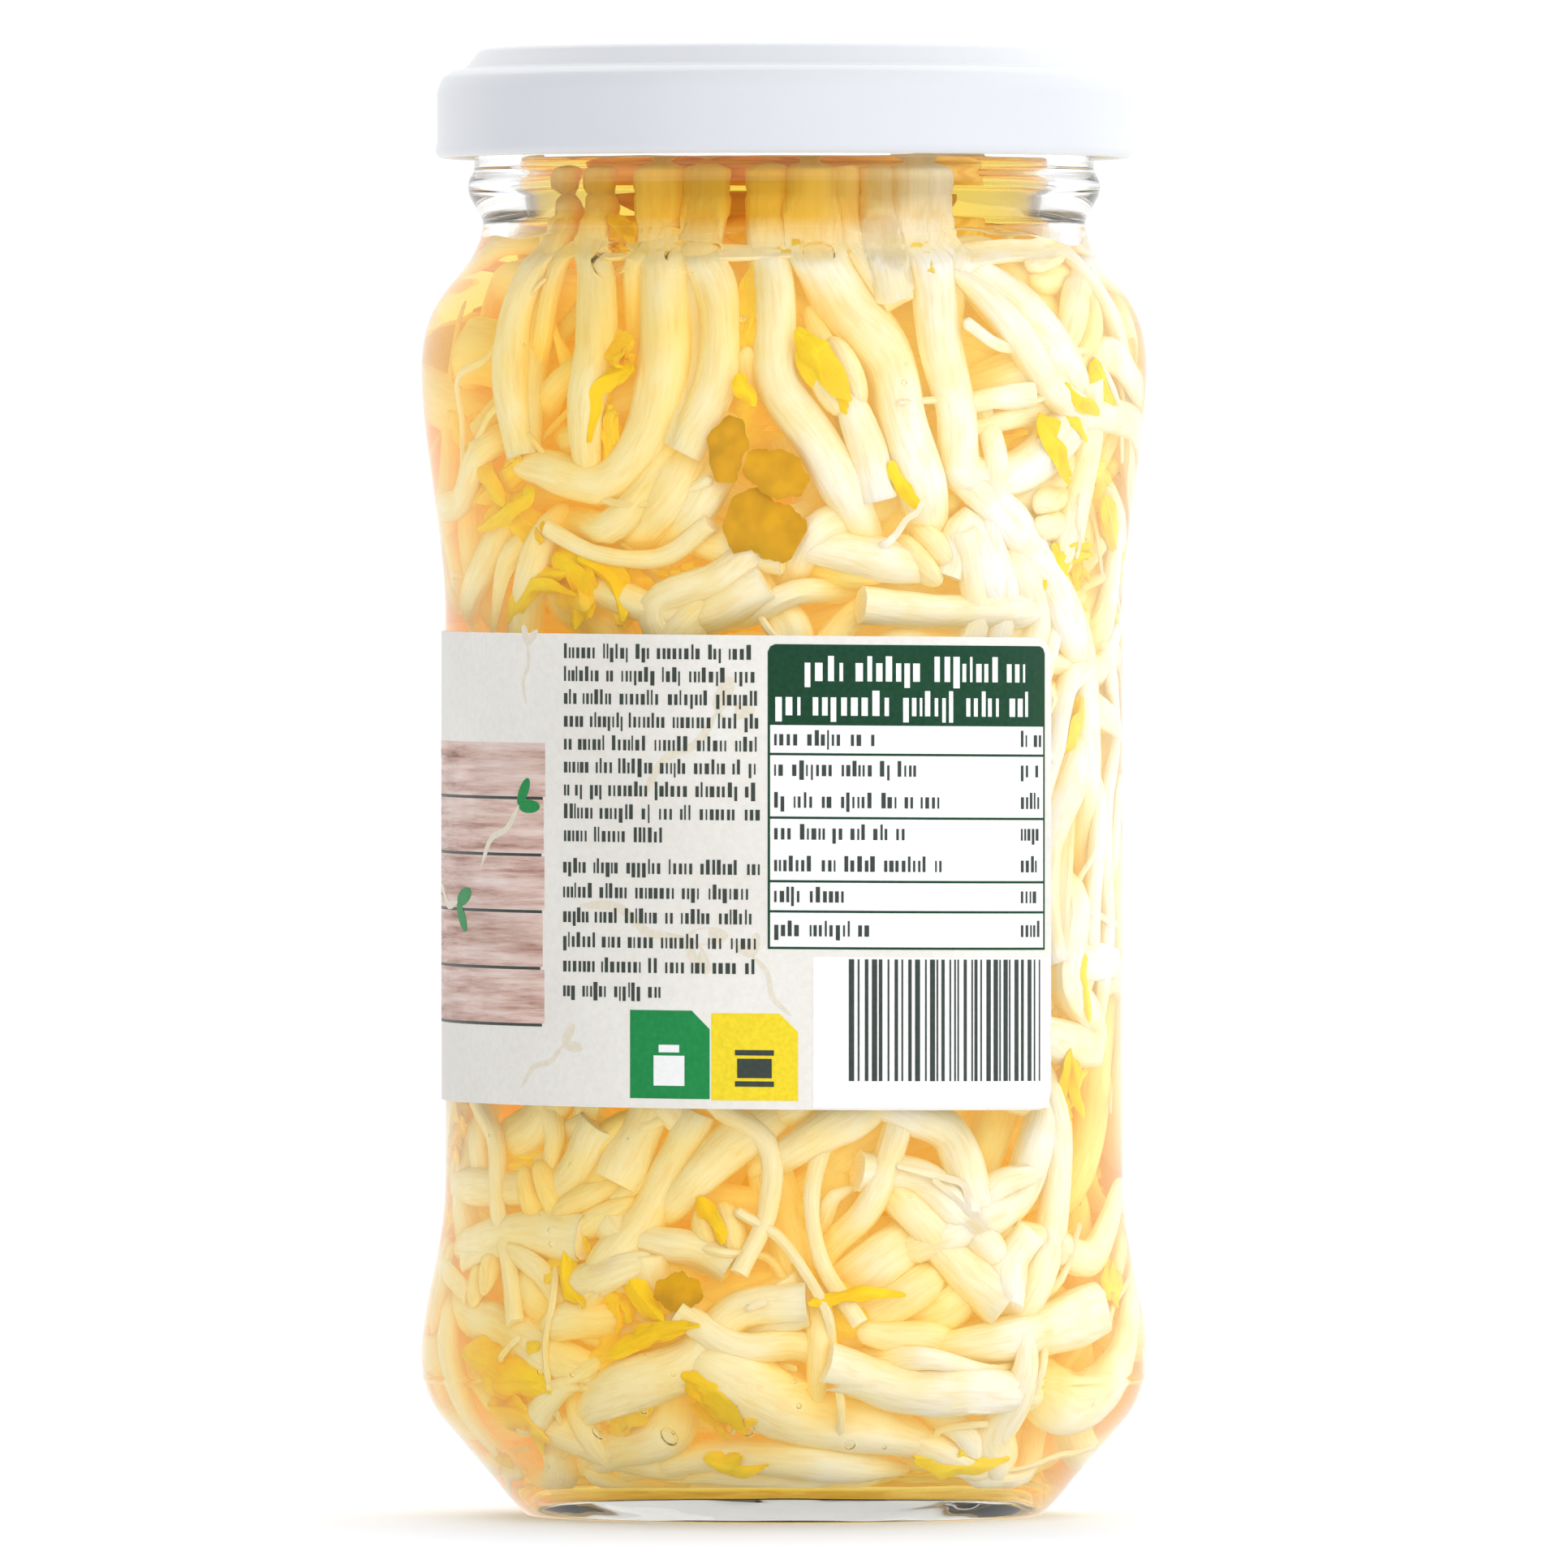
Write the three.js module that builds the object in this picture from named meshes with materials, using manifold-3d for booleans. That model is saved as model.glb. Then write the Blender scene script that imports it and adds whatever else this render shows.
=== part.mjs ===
// A 370 ml twist-off glass jar of pickled bean sprouts, in millimetres.
// +Z is up, the origin is the centre of the base, and the front of the label faces -Y.
// Azimuths are in degrees, 0 at the front (-Y) and growing towards +X.

import * as THREE from "three";
import { mergeVertices } from "three/addons/utils/BufferGeometryUtils.js";
import Module from "manifold-3d";

const wasm = await Module();
wasm.setup();

// Jar
const WAIST_RADIUS = 31.85;
const BULGE_RADIUS = 34.1;
const NECK_RADIUS = 28.3;
const BEAD_RADIUS = 29.7;
const FINISH_RADIUS = 29.15;
const MOUTH_RADIUS = 25.9;
const RIM_HEIGHT = 134.2;
const RIM_ROUND = 0.8;
const WALL = 2.3;
const ROUND_STEPS = 32;

// Thread and lid
const THREADS = 4;
const THREAD_DEPTH = 1.5;
const THREAD_THICKNESS = 1.5;
const THREAD_RISE = 2.2;
const THREAD_ARC = 68;
const LUG_ARC = 20;
const LUG_START = 54;
const LUG_HEIGHT = 1.1;
const LID_RADIUS = 32.6;
const LID_BOTTOM = 127.5;
const LID_TOP = 137.8;
const LID_SHEET = 0.4;

// Label
const LABEL_BOTTOM = 38.7;
const LABEL_HEIGHT = 44;
const LABEL_RIGHT = 50.7;
const LABEL_ARC = 296;
const LABEL_SLOPE = 0.008;
const LABEL_CORNER = 2;
const LABEL_COLUMNS = 36;
const PAPER = 0.25;

// Brine and the ring-shaped space that the sprouts stand in
const BRINE_LEVEL = 125.8;
const FILM = 0.6;
const FIT = 0.15;
const CORE_RADIUS = 21.5;
const CORE_NECK_RADIUS = 14;
const CORE_SHOULDER = 96;
const CORE_TAPER = 16;
const HOLE_FLOOR = 5.6;

// Sprouts
const SPROUT_SIDES = 5;
const STEP = 6.3;
const GAP = 0.3;
const ROUNDS = 420;
const MIDDLE_SHARE = 0.75;
const SEED = 7;
const COMPANION_LENGTH = [36, 56];
const COMPANION_RADIUS = [1.9, 2.5];
const ROOT_LENGTH = 16;
const HEAD_LENGTH = 9;
const TOP_OF_SPROUTS = 125.2;
const TOP_OF_COMPANIONS = 114;
const TRIES = 12;
const ROOMY = 7;
const HIDDEN_ZONES = [
  { from: 100, to: 262, low: 9, high: 113, bunches: 7, companions: 4 },
  { from: -88, to: 45, low: 44, high: 80, bunches: 3, companions: 3 },
];

const rad = THREE.MathUtils.degToRad;

const material = (color, roughness, more) => new THREE.MeshStandardMaterial({ color, roughness, ...more });
const glass = material(0xdfeee2, 0.05, { transparent: true, opacity: 0.35 });
const whitePaint = material(0xeff1f4, 0.25, { metalness: 0.1 });
const sealing = material(0xe4dfd2, 0.7);
const paper = material(0xe9e2d2, 0.8);
const liquid = material(0xe9c98a, 0.1, { transparent: true, opacity: 0.5 });
const sproutFlesh = material(0xf4e6c0, 0.45);
const hullSkin = material(0xa3872a, 0.6);

// ---- Solids ----

function toSolid(geometry) {
  const bare = geometry.clone();
  bare.deleteAttribute("normal");
  bare.deleteAttribute("uv");
  const merged = mergeVertices(bare, 1e-4);
  const mesh = new wasm.Mesh({
    numProp: 3,
    vertProperties: merged.attributes.position.array,
    triVerts: new Uint32Array(merged.index.array),
  });
  return new wasm.Manifold(mesh);
}

function toGeometry(solid) {
  const mesh = solid.getMesh();
  const geometry = new THREE.BufferGeometry();
  geometry.setAttribute("position", new THREE.BufferAttribute(mesh.vertProperties, 3));
  geometry.setIndex(new THREE.BufferAttribute(mesh.triVerts, 1));
  return geometry.toNonIndexed();
}

// The largest of the separate bodies that a union leaves.
function mainBody(solid) {
  return solid.decompose().sort((a, b) => b.volume() - a.volume())[0];
}

function named(name, geometry, material) {
  const shaded = geometry.clone();
  shaded.computeVertexNormals();
  const mesh = new THREE.Mesh(shaded, material);
  mesh.name = name;
  return mesh;
}

// A point at a radius, an azimuth in degrees and a height.
function polar(radius, azimuth, height) {
  return new THREE.Vector3(radius * Math.sin(rad(azimuth)), -radius * Math.cos(rad(azimuth)), height);
}

// A closed profile of (radius, height) points, going round counter-clockwise, turned about Z.
function turned(profile) {
  const lathe = new THREE.LatheGeometry(profile, ROUND_STEPS);
  return lathe.rotateX(Math.PI / 2);
}

// A unit box whose vertices are moved by place(u, v, w), each from 0 to 1: u goes round counter-clockwise
// as seen from above, v goes inwards and w goes up.
function shapedBox(place, steps, [across, up] = [1, 1]) {
  const box = new THREE.BoxGeometry(1, 1, 1, steps, across, up);
  const position = box.attributes.position;
  for (let i = 0; i < position.count; i++) {
    const moved = place(position.getX(i) + 0.5, position.getY(i) + 0.5, position.getZ(i) + 0.5);
    position.setXYZ(i, moved.x, moved.y, moved.z);
  }
  return box;
}

// ---- Glass ----

// The outside of the glass, from the middle of the base to the rim.
function outerWall() {
  const path = new THREE.Path();
  path.moveTo(0, 1.4);
  path.lineTo(22.4, 0);
  path.lineTo(24.1, 0);
  path.quadraticCurveTo(25.6, 1.2, 27.2, 3.4);
  path.lineTo(31.6, 8.5);
  path.quadraticCurveTo(BULGE_RADIUS, 11.2, BULGE_RADIUS, 15);
  path.bezierCurveTo(BULGE_RADIUS, 20, WAIST_RADIUS, 25, WAIST_RADIUS, 32);
  path.lineTo(WAIST_RADIUS, 84.5);
  path.bezierCurveTo(WAIST_RADIUS, 92, BULGE_RADIUS, 101, BULGE_RADIUS, 107.6);
  path.bezierCurveTo(BULGE_RADIUS, 112.2, 32.6, 114.2, 30.7, 116.4);
  path.quadraticCurveTo(28.3, 119.2, NECK_RADIUS, 121.6);
  path.lineTo(BEAD_RADIUS, 124.2);
  path.lineTo(BEAD_RADIUS, 125.4);
  path.lineTo(FINISH_RADIUS, 126.2);
  path.lineTo(FINISH_RADIUS, RIM_HEIGHT - RIM_ROUND);
  path.lineTo(FINISH_RADIUS - RIM_ROUND, RIM_HEIGHT);
  return pathPoints(path);
}

// The inside of the glass, from the rim down to the middle of the floor.
function innerWall() {
  const inner = WAIST_RADIUS - WALL;
  const bulge = BULGE_RADIUS - WALL;
  const path = new THREE.Path();
  path.moveTo(MOUTH_RADIUS + RIM_ROUND, RIM_HEIGHT);
  path.lineTo(MOUTH_RADIUS, RIM_HEIGHT - RIM_ROUND);
  path.lineTo(MOUTH_RADIUS, 120.6);
  path.bezierCurveTo(MOUTH_RADIUS, 117, 31.9, 113.4, bulge, 107.4);
  path.bezierCurveTo(bulge, 101, inner, 92, inner, 84.5);
  path.lineTo(inner, 32);
  path.bezierCurveTo(inner, 25, bulge, 20, bulge, 15.4);
  path.quadraticCurveTo(bulge, 12.2, 29.6, 10);
  path.lineTo(26.2, 6);
  path.quadraticCurveTo(24.4, 4, 20.5, 3.7);
  path.lineTo(0, 4);
  return pathPoints(path);
}

// Points of a path: the ends of its lines, a midpoint on each short bend and two more on each long one.
function pathPoints(path) {
  const points = [];
  for (const curve of path.curves) {
    const count = curve.isLineCurve ? 1 : curve.isCubicBezierCurve ? 3 : 2;
    points.push(...curve.getPoints(count).slice(points.length ? 1 : 0));
  }
  return points;
}

// One thread segment: a ridge round the finish that rises counter-clockwise as seen from above.
function threadSegment(index) {
  const start = LUG_START - LUG_ARC / 2 - 2 + (index * 360) / THREADS;
  const low = LID_BOTTOM + LUG_HEIGHT + 0.35;
  return toSolid(
    shapedBox((u, v, w) => {
      const outer = FINISH_RADIUS + THREAD_DEPTH * Math.min(1, 6 * u, 6 * (1 - u));
      const radius = v < 0.5 ? outer : FINISH_RADIUS - 0.8;
      const azimuth = start + THREAD_ARC * u;
      const taper = v < 0.5 ? (0.5 - w) * 0.5 : 0;
      return polar(radius, azimuth, low + THREAD_RISE * u + THREAD_THICKNESS * w + taper);
    }, 8),
  );
}

function glassJar() {
  const profile = [...outerWall(), ...innerWall()];
  let jar = toSolid(turned(profile));
  for (let i = 0; i < THREADS; i++) {
    jar = jar.add(threadSegment(i));
  }
  return jar;
}

// ---- Lid ----

function lidProfile() {
  const radius = LID_RADIUS;
  const inside = radius - LID_SHEET;
  return [
    [0, LID_TOP - 0.5],
    [0, LID_TOP - 0.5 - LID_SHEET],
    [25.6, LID_TOP - 0.5 - LID_SHEET],
    [26.3, LID_TOP - LID_SHEET],
    [28.2, LID_TOP - LID_SHEET],
    [29.6, LID_TOP - 2 - LID_SHEET],
    [31, LID_TOP - 2.1 - LID_SHEET],
    [31.9, LID_TOP - 2.8 - LID_SHEET],
    [inside, LID_TOP - 4],
    [inside, LID_BOTTOM + 1.3],
    [31.5, LID_BOTTOM + 1.3],
    [31.2, LID_BOTTOM + 0.6],
    [31.6, LID_BOTTOM],
    [radius - 0.2, LID_BOTTOM],
    [radius + 0.2, LID_BOTTOM + 0.6],
    [radius, LID_BOTTOM + 1.6],
    [radius, LID_TOP - 4],
    [32.1, LID_TOP - 2.7],
    [31.1, LID_TOP - 2.1],
    [30, LID_TOP - 2],
    [28.7, LID_TOP - 0.25],
    [28.2, LID_TOP],
    [26.4, LID_TOP],
    [25.7, LID_TOP - 0.5],
    [0, LID_TOP - 0.5],
  ].map(([r, z]) => new THREE.Vector2(r, z));
}

// One lug: the curl pressed inwards under the low end of a thread segment.
function lug(index) {
  const middle = LUG_START + (index * 360) / THREADS;
  return toSolid(
    shapedBox((u, v, w) => {
      const reach = 1.9 * Math.sin(Math.PI * (0.15 + 0.7 * u));
      const radius = v < 0.5 ? 31.9 : 31.9 - reach;
      return polar(radius, middle + LUG_ARC * (u - 0.5), LID_BOTTOM + 0.05 + LUG_HEIGHT * w);
    }, 4),
  );
}

function lid() {
  let sheet = toSolid(turned(lidProfile()));
  for (let i = 0; i < THREADS; i++) {
    sheet = sheet.add(lug(i));
  }
  return sheet;
}

function gasket() {
  const top = LID_TOP - 0.2 - 2.1 - LID_SHEET;
  const section = [
    [26.2, top],
    [26.2, top - 0.7],
    [27.5, RIM_HEIGHT + 0.2],
    [29.4, RIM_HEIGHT + 0.2],
    [30.9, top - 0.5],
    [30.9, top],
    [26.2, top],
  ].map(([r, z]) => new THREE.Vector2(r, z));
  return toSolid(turned(section));
}

// ---- Label ----

// One paper sheet glued round the waist, a little askew, with rounded corners at both ends.
function label() {
  const inside = WAIST_RADIUS + 0.1;
  return toSolid(
    shapedBox((u, v, w) => {
      const azimuth = LABEL_RIGHT - LABEL_ARC * (1 - endEased(u));
      const fromEnd = rad(LABEL_ARC) * inside * Math.min(endEased(u), 1 - endEased(u));
      const short = Math.max(0, LABEL_CORNER - fromEnd);
      const cut = LABEL_CORNER - Math.sqrt(LABEL_CORNER ** 2 - short ** 2);
      const shift = LABEL_SLOPE * rad(-azimuth) * inside;
      const height = LABEL_BOTTOM + shift + cut + (LABEL_HEIGHT - 2 * cut) * w;
      return polar(inside + PAPER * (v < 0.5 ? 1 : 0), azimuth, height);
    }, LABEL_COLUMNS),
  );
}

// Even steps along the label, with two closer ones at each end for its corners.
function endEased(u) {
  const corner = LABEL_CORNER / (rad(LABEL_ARC) * WAIST_RADIUS);
  const column = Math.round(u * LABEL_COLUMNS);
  const fromEnd = Math.min(column, LABEL_COLUMNS - column);
  if (fromEnd < 3) return column < 3 ? (column * corner) / 2 : 1 - (fromEnd * corner) / 2;
  return corner + ((column - 2) / (LABEL_COLUMNS - 4)) * (1 - 2 * corner);
}

// ---- Brine ----

// The inner radius of the glass at a height.
const innerPoints = innerWall().reverse();

function glassRadius(height) {
  if (height <= innerPoints[1].y) return innerPoints[1].x;
  let i = 1;
  while (i < innerPoints.length - 3 && innerPoints[i + 1].y < height) i++;
  const a = innerPoints[i];
  const b = innerPoints[i + 1];
  const share = THREE.MathUtils.clamp((height - a.y) / (b.y - a.y), 0, 1);
  return a.x + (b.x - a.x) * share;
}

function holeRadius(height) {
  return glassRadius(height) - FIT - FILM;
}

function coreRadius(height) {
  const share = THREE.MathUtils.clamp((height - CORE_SHOULDER) / CORE_TAPER, 0, 1);
  return CORE_RADIUS + (CORE_NECK_RADIUS - CORE_RADIUS) * share;
}

// The liquid: a film on the glass, a layer on the floor and the core, round one plain ring-shaped hole.
function brine() {
  const skin = innerPoints.filter((p) => p.y > innerPoints[0].y && p.y < BRINE_LEVEL - 1);
  const outside = skin.map((p) => new THREE.Vector2(p.x - FIT, p.y));
  const hole = skin.filter((p) => p.y > HOLE_FLOOR + 1).map((p) => new THREE.Vector2(p.x - FIT - FILM, p.y));
  const top = glassRadius(BRINE_LEVEL) - FIT;
  const profile = [
    new THREE.Vector2(0, innerPoints[0].y + FIT),
    new THREE.Vector2(innerPoints[1].x, innerPoints[0].y + FIT),
    ...outside,
    new THREE.Vector2(top, BRINE_LEVEL),
    new THREE.Vector2(top - FILM, BRINE_LEVEL),
    ...hole.reverse(),
    new THREE.Vector2(holeRadius(HOLE_FLOOR), HOLE_FLOOR),
    new THREE.Vector2(CORE_RADIUS, HOLE_FLOOR),
    new THREE.Vector2(CORE_RADIUS, CORE_SHOULDER),
    new THREE.Vector2(CORE_NECK_RADIUS, CORE_SHOULDER + CORE_TAPER),
    new THREE.Vector2(CORE_NECK_RADIUS, BRINE_LEVEL),
    new THREE.Vector2(0, BRINE_LEVEL),
  ];
  return toSolid(turned(profile));
}

// ---- Sprouts ----

// Strands that lie against the glass, as [kind, radius, ...points], each point as seen from the front:
// [offset to the right, height]. Each row is a bunch, grown together where its strands meet.
const SEEN_BUNCHES = [
  [["stem", 2.3, [-13, 120], [-12.5, 109], [-15.5, 97], [-23.5, 97]], ["leaf", 1.6, [-19, 100], [-18, 107]]],
  [["stem", 2, [-9.5, 117.5], [-8, 111.5], [-7, 105.5], [-8.5, 99]]],
  [["stem", 2.1, [-1, 123], [0, 116], [1.5, 105.5], [6.5, 95.5]]],
  [["stem", 2.5, [2.5, 117.5], [7.5, 113.5], [11, 107.5], [12.5, 101.5], [14, 97]]],
  [["stem", 2.2, [14, 115], [17, 107], [18.5, 97], [23, 97], [28, 101]], ["stem", 1, [18, 106], [25, 105]]],
  [["stem", 1.9, [13, 122], [10.5, 112]], ["stem", 1.7, [7, 125], [6.5, 119], [9, 112.5]]],
  [["stem", 2.5, [16.5, 118], [23, 113], [29, 107.5]]],
  [["stem", 1.6, [8, 104.5], [9.5, 95.5]], ["bean", 2.2, [3, 110], [6, 104]]],
  [["stem", 2, [-20.5, 119], [-20.5, 110], [-20, 104]], ["leaf", 1.5, [-18.5, 108], [-14, 108.5]]],
  [["stem", 1.8, [-26.5, 113.5], [-27.5, 105], [-26, 99]], ["leaf", 1.5, [-27, 101], [-30.5, 95]]],
  [["stem", 0.9, [-24, 92], [-16.5, 90.8], [-7.5, 95]], ["leaf", 1.6, [-30, 94], [-24, 92]]],
  [["stem", 1.8, [-15, 87.5], [-6, 85.5], [2, 87]], ["leaf", 2, [-16, 90], [-16.5, 84]]],
  [["stem", 2.2, [-27, 89.5], [-28, 78]], ["leaf", 2.2, [-22, 91], [-20.5, 84]]],
  [["stem", 1.7, [18, 88], [18.5, 92.5], [21, 92.5], [22, 87]], ["bean", 2.2, [13, 93], [16, 88]]],
  [["stem", 2.2, [22, 95], [25, 90.5], [28, 84]]],
  [["stem", 1.9, [30, 107], [30.5, 99.5], [28, 92]], ["leaf", 1.4, [29, 92], [30.5, 87]]],
  [["stem", 1.9, [3.5, 91], [10, 90]]],
  [["stem", 2, [-12, 90], [-5, 92], [0, 93]]],
  [["stem", 1.8, [9, 85], [17, 84], [24, 83]]],
  [["stem", 2.1, [-30.5, 31], [-22, 31.5], [-17.5, 37]]],
  [["stem", 2.2, [-18.5, 31], [-12, 39]]],
  [["stem", 1.9, [-19.5, 23], [-14, 29], [-9, 38]], ["leaf", 1.3, [-19.5, 23], [-16, 18]]],
  [["stem", 1.9, [-9, 33], [-2, 34.5]]],
  [["stem", 2.1, [-30.5, 25.5], [-26, 26.5], [-20, 26]], ["leaf", 1.3, [-21, 26], [-22, 20]]],
  [["stem", 1.8, [-13, 26], [-6, 26.5]], ["bean", 2.3, [-6, 32], [-5, 25.5]]],
  [["stem", 1.9, [-3, 33.5], [-1, 28], [1, 22.5]]],
  [["stem", 0.8, [1, 37], [3.5, 32], [5, 26], [9, 19]], ["stem", 2.2, [4.5, 35.5], [13.5, 37.5]]],
  [["stem", 2, [14.5, 36.5], [18, 34], [19, 28]]],
  [["stem", 2.1, [24, 38], [23, 32.5], [19.5, 27]], ["stem", 2.1, [7, 29.5], [13, 29], [19.5, 26.5]]],
  [["stem", 2.1, [8.5, 25], [13, 24], [20, 22]], ["stem", 1.9, [20, 22], [25, 27]]],
  [["stem", 1.7, [27, 37], [27, 29], [25, 21]], ["leaf", 1.4, [27, 37], [30, 42]]],
  [["stem", 2.3, [22, 17], [27, 18], [31.5, 19]]],
  [["stem", 2.1, [-15.5, 11], [-10, 15], [-4, 19], [2, 20.5]], ["leaf", 1.4, [-9, 13], [-4, 9]]],
  [["stem", 2.3, [-31.5, 18.5], [-24, 18]], ["leaf", 1.6, [-30, 13.5], [-23.5, 13]]],
  [["stem", 2, [5, 17.5], [13, 15.5], [20, 13]]],
  [["stem", 2.8, [-4.5, 14], [3, 10.5], [11, 9.5]], ["stem", 1.7, [11, 9.5], [20, 8]]],
  [["stem", 2.2, [-24, 9.5], [-17, 9.5]], ["stem", 2, [-12, 6.5], [-3, 6], [5, 6.2]]],
  [["stem", 2.4, [25, 14], [22.5, 10], [22, 7]]],
  [["stem", 2, [28.5, 70], [27, 62], [27.5, 52]], ["leaf", 1.4, [28.5, 70], [30, 77]]],
  [["stem", 1.9, [25, 45], [31, 44]]],
  [["stem", 1.9, [26, 80], [31, 75]]],
  [["stem", 1.4, [31, 66], [30.5, 52]]],
];
const BUNCHES = SEEN_BUNCHES.length + HIDDEN_ZONES.reduce((sum, zone) => sum + zone.bunches, 0);
const SEEN_HULLS = [
  ["hull", 1.9, [-6, 102], [-4.5, 96]],
  ["hull", 2.4, [-6, 97], [1.5, 97.5]],
  ["hull", 2, [-12, 22], [-6.5, 21.5]],
];

// A seeded stream of numbers from 0 to 1.
function randomStream(seed) {
  let state = seed;
  return () => {
    state = (state + 0x6d2b79f5) | 0;
    let mixed = Math.imul(state ^ (state >>> 15), 1 | state);
    mixed = (mixed + Math.imul(mixed ^ (mixed >>> 7), 61 | mixed)) ^ mixed;
    return ((mixed ^ (mixed >>> 14)) >>> 0) / 4294967296;
  };
}

const between = (random, [low, high]) => low + (high - low) * random();

// Half the width and half the thickness of a strand, at a share of its length.
function sectionAt(strand, share) {
  const { kind, radius, length } = strand;
  if (kind === "leaf" || kind === "hull") {
    const width = radius * Math.sin(Math.PI * (0.12 + 0.76 * share)) ** 0.7;
    return [width, 0.42];
  }
  if (kind === "bean") {
    const width = radius * Math.sin(Math.PI * (0.14 + 0.72 * share)) ** 0.6;
    return [width, 0.75 * width];
  }
  const along = share * length;
  const left = length - along;
  const tip = Math.min(1, 0.6 + 0.25 * Math.min(along, left));
  if (kind === "rooted" && left < ROOT_LENGTH) {
    const root = THREE.MathUtils.lerp(0.42, radius, Math.max(0, left / ROOT_LENGTH - 0.35) / 0.65);
    return [root, root];
  }
  if (strand.head && along < HEAD_LENGTH) {
    const wide = strand.head === "leaf" ? 2.3 : 2.4;
    const width = wide * Math.sin(Math.PI * (0.16 + (0.7 * along) / HEAD_LENGTH)) ** 0.7;
    return [width, strand.head === "leaf" ? 0.45 : 0.8 * width];
  }
  return [radius * tip, radius * tip];
}

// Strands of one bunch, each a list of points and how easily they move.
function seenStrand([kind, radius, ...marks], bunch) {
  const places = marks.map(([right, height]) => {
    const reach = holeRadius(height) - radius;
    const outside = holeRadius(height) + WALL + 1;
    const azimuth = Math.asin(THREE.MathUtils.clamp(right / outside, -0.99, 0.99));
    return new THREE.Vector3(reach * Math.sin(azimuth), -reach * Math.cos(azimuth), height);
  });
  const curve = new THREE.CatmullRomCurve3(places);
  const length = curve.getLength();
  const steps = Math.max(2, Math.round(length / STEP));
  return { bunch, kind, radius, length, points: curve.getSpacedPoints(steps), ease: 0.15 };
}

// A loose strand that sets out from a point of the bunch and wanders round the ring.
function companion(random, bunch, root) {
  const radius = between(random, COMPANION_RADIUS);
  const steps = Math.round(between(random, COMPANION_LENGTH) / STEP);
  const away = random() < 0.5 ? -1 : 1;
  let climb = (random() - 0.5) * 2.4;
  let depth = Math.hypot(root.x, root.y);
  let azimuth = Math.atan2(root.x, -root.y);
  let height = root.z;
  const points = [root.clone()];
  for (let i = 0; i < steps; i++) {
    climb += (random() - 0.5) * 0.9;
    if (height > 108) climb -= 0.35;
    if (height < 14) climb += 0.35;
    depth += (random() - 0.62) * 2.4;
    depth = THREE.MathUtils.clamp(depth, coreRadius(height) + radius, holeRadius(height) - radius);
    azimuth += (away * Math.cos(climb) * STEP) / depth;
    height = THREE.MathUtils.clamp(height + Math.sin(climb) * STEP, HOLE_FLOOR + 3, TOP_OF_COMPANIONS);
    points.push(new THREE.Vector3(depth * Math.sin(azimuth), -depth * Math.cos(azimuth), height));
  }
  const draw = random();
  const head = draw < 0.3 ? "leaf" : draw < 0.5 ? "bean" : null;
  const kind = random() < 0.7 ? "rooted" : "stem";
  return { bunch, kind, head, radius, length: steps * STEP, points, ease: 1 };
}

// A place for the lead of a hidden bunch: behind, or behind the label.
function hiddenPlace(zone, index) {
  const azimuth = rad(zone.from + (zone.to - zone.from) * ((0.3 + index * 0.618) % 1));
  const height = zone.low + ((index + 0.5) / zone.bunches) * (zone.high - zone.low);
  const reach = holeRadius(height) - 2;
  return new THREE.Vector3(reach * Math.sin(azimuth), -reach * Math.cos(azimuth), height);
}

// How much room a strand has: the distance of each of its points to the nearest strand, up to a limit.
function roomOf(strand, placed) {
  let sum = 0;
  for (const point of strand.points.slice(1)) {
    let nearest = ROOMY ** 2;
    for (const other of placed) {
      for (const taken of other.points) nearest = Math.min(nearest, point.distanceToSquared(taken));
    }
    sum += Math.sqrt(nearest);
  }
  return sum / strand.points.length;
}

// The roomiest of a few tries at a strand that sets out from one of the given roots.
function roomiest(random, bunch, roots, placed) {
  let best = null;
  let most = -1;
  for (let i = 0; i < TRIES; i++) {
    const root = roots[Math.floor(random() * roots.length)];
    const strand = companion(random, bunch, root);
    const room = roomOf(strand, placed);
    if (room > most) {
      best = strand;
      most = room;
    }
  }
  return best;
}

function allStrands() {
  const random = randomStream(SEED);
  const seen = SEEN_BUNCHES.map((row, bunch) => row.map((item) => seenStrand(item, bunch)));
  const hulls = SEEN_HULLS.map((item, i) => [seenStrand(item, BUNCHES + i)]);
  const strands = [...seen.flat(), ...hulls.flat()];
  let bunch = SEEN_BUNCHES.length;
  for (const zone of HIDDEN_ZONES) {
    for (let i = 0; i < zone.bunches; i++) {
      const lead = roomiest(random, bunch, [hiddenPlace(zone, i)], strands);
      strands.push(lead);
      for (let k = 0; k < zone.companions; k++) {
        strands.push(roomiest(random, bunch, lead.points, strands));
      }
      bunch += 1;
    }
  }
  seen.forEach((row, i) => {
    if (i % 5 < 2) strands.push(roomiest(random, i, row[0].points, strands));
  });
  return strands;
}

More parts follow.
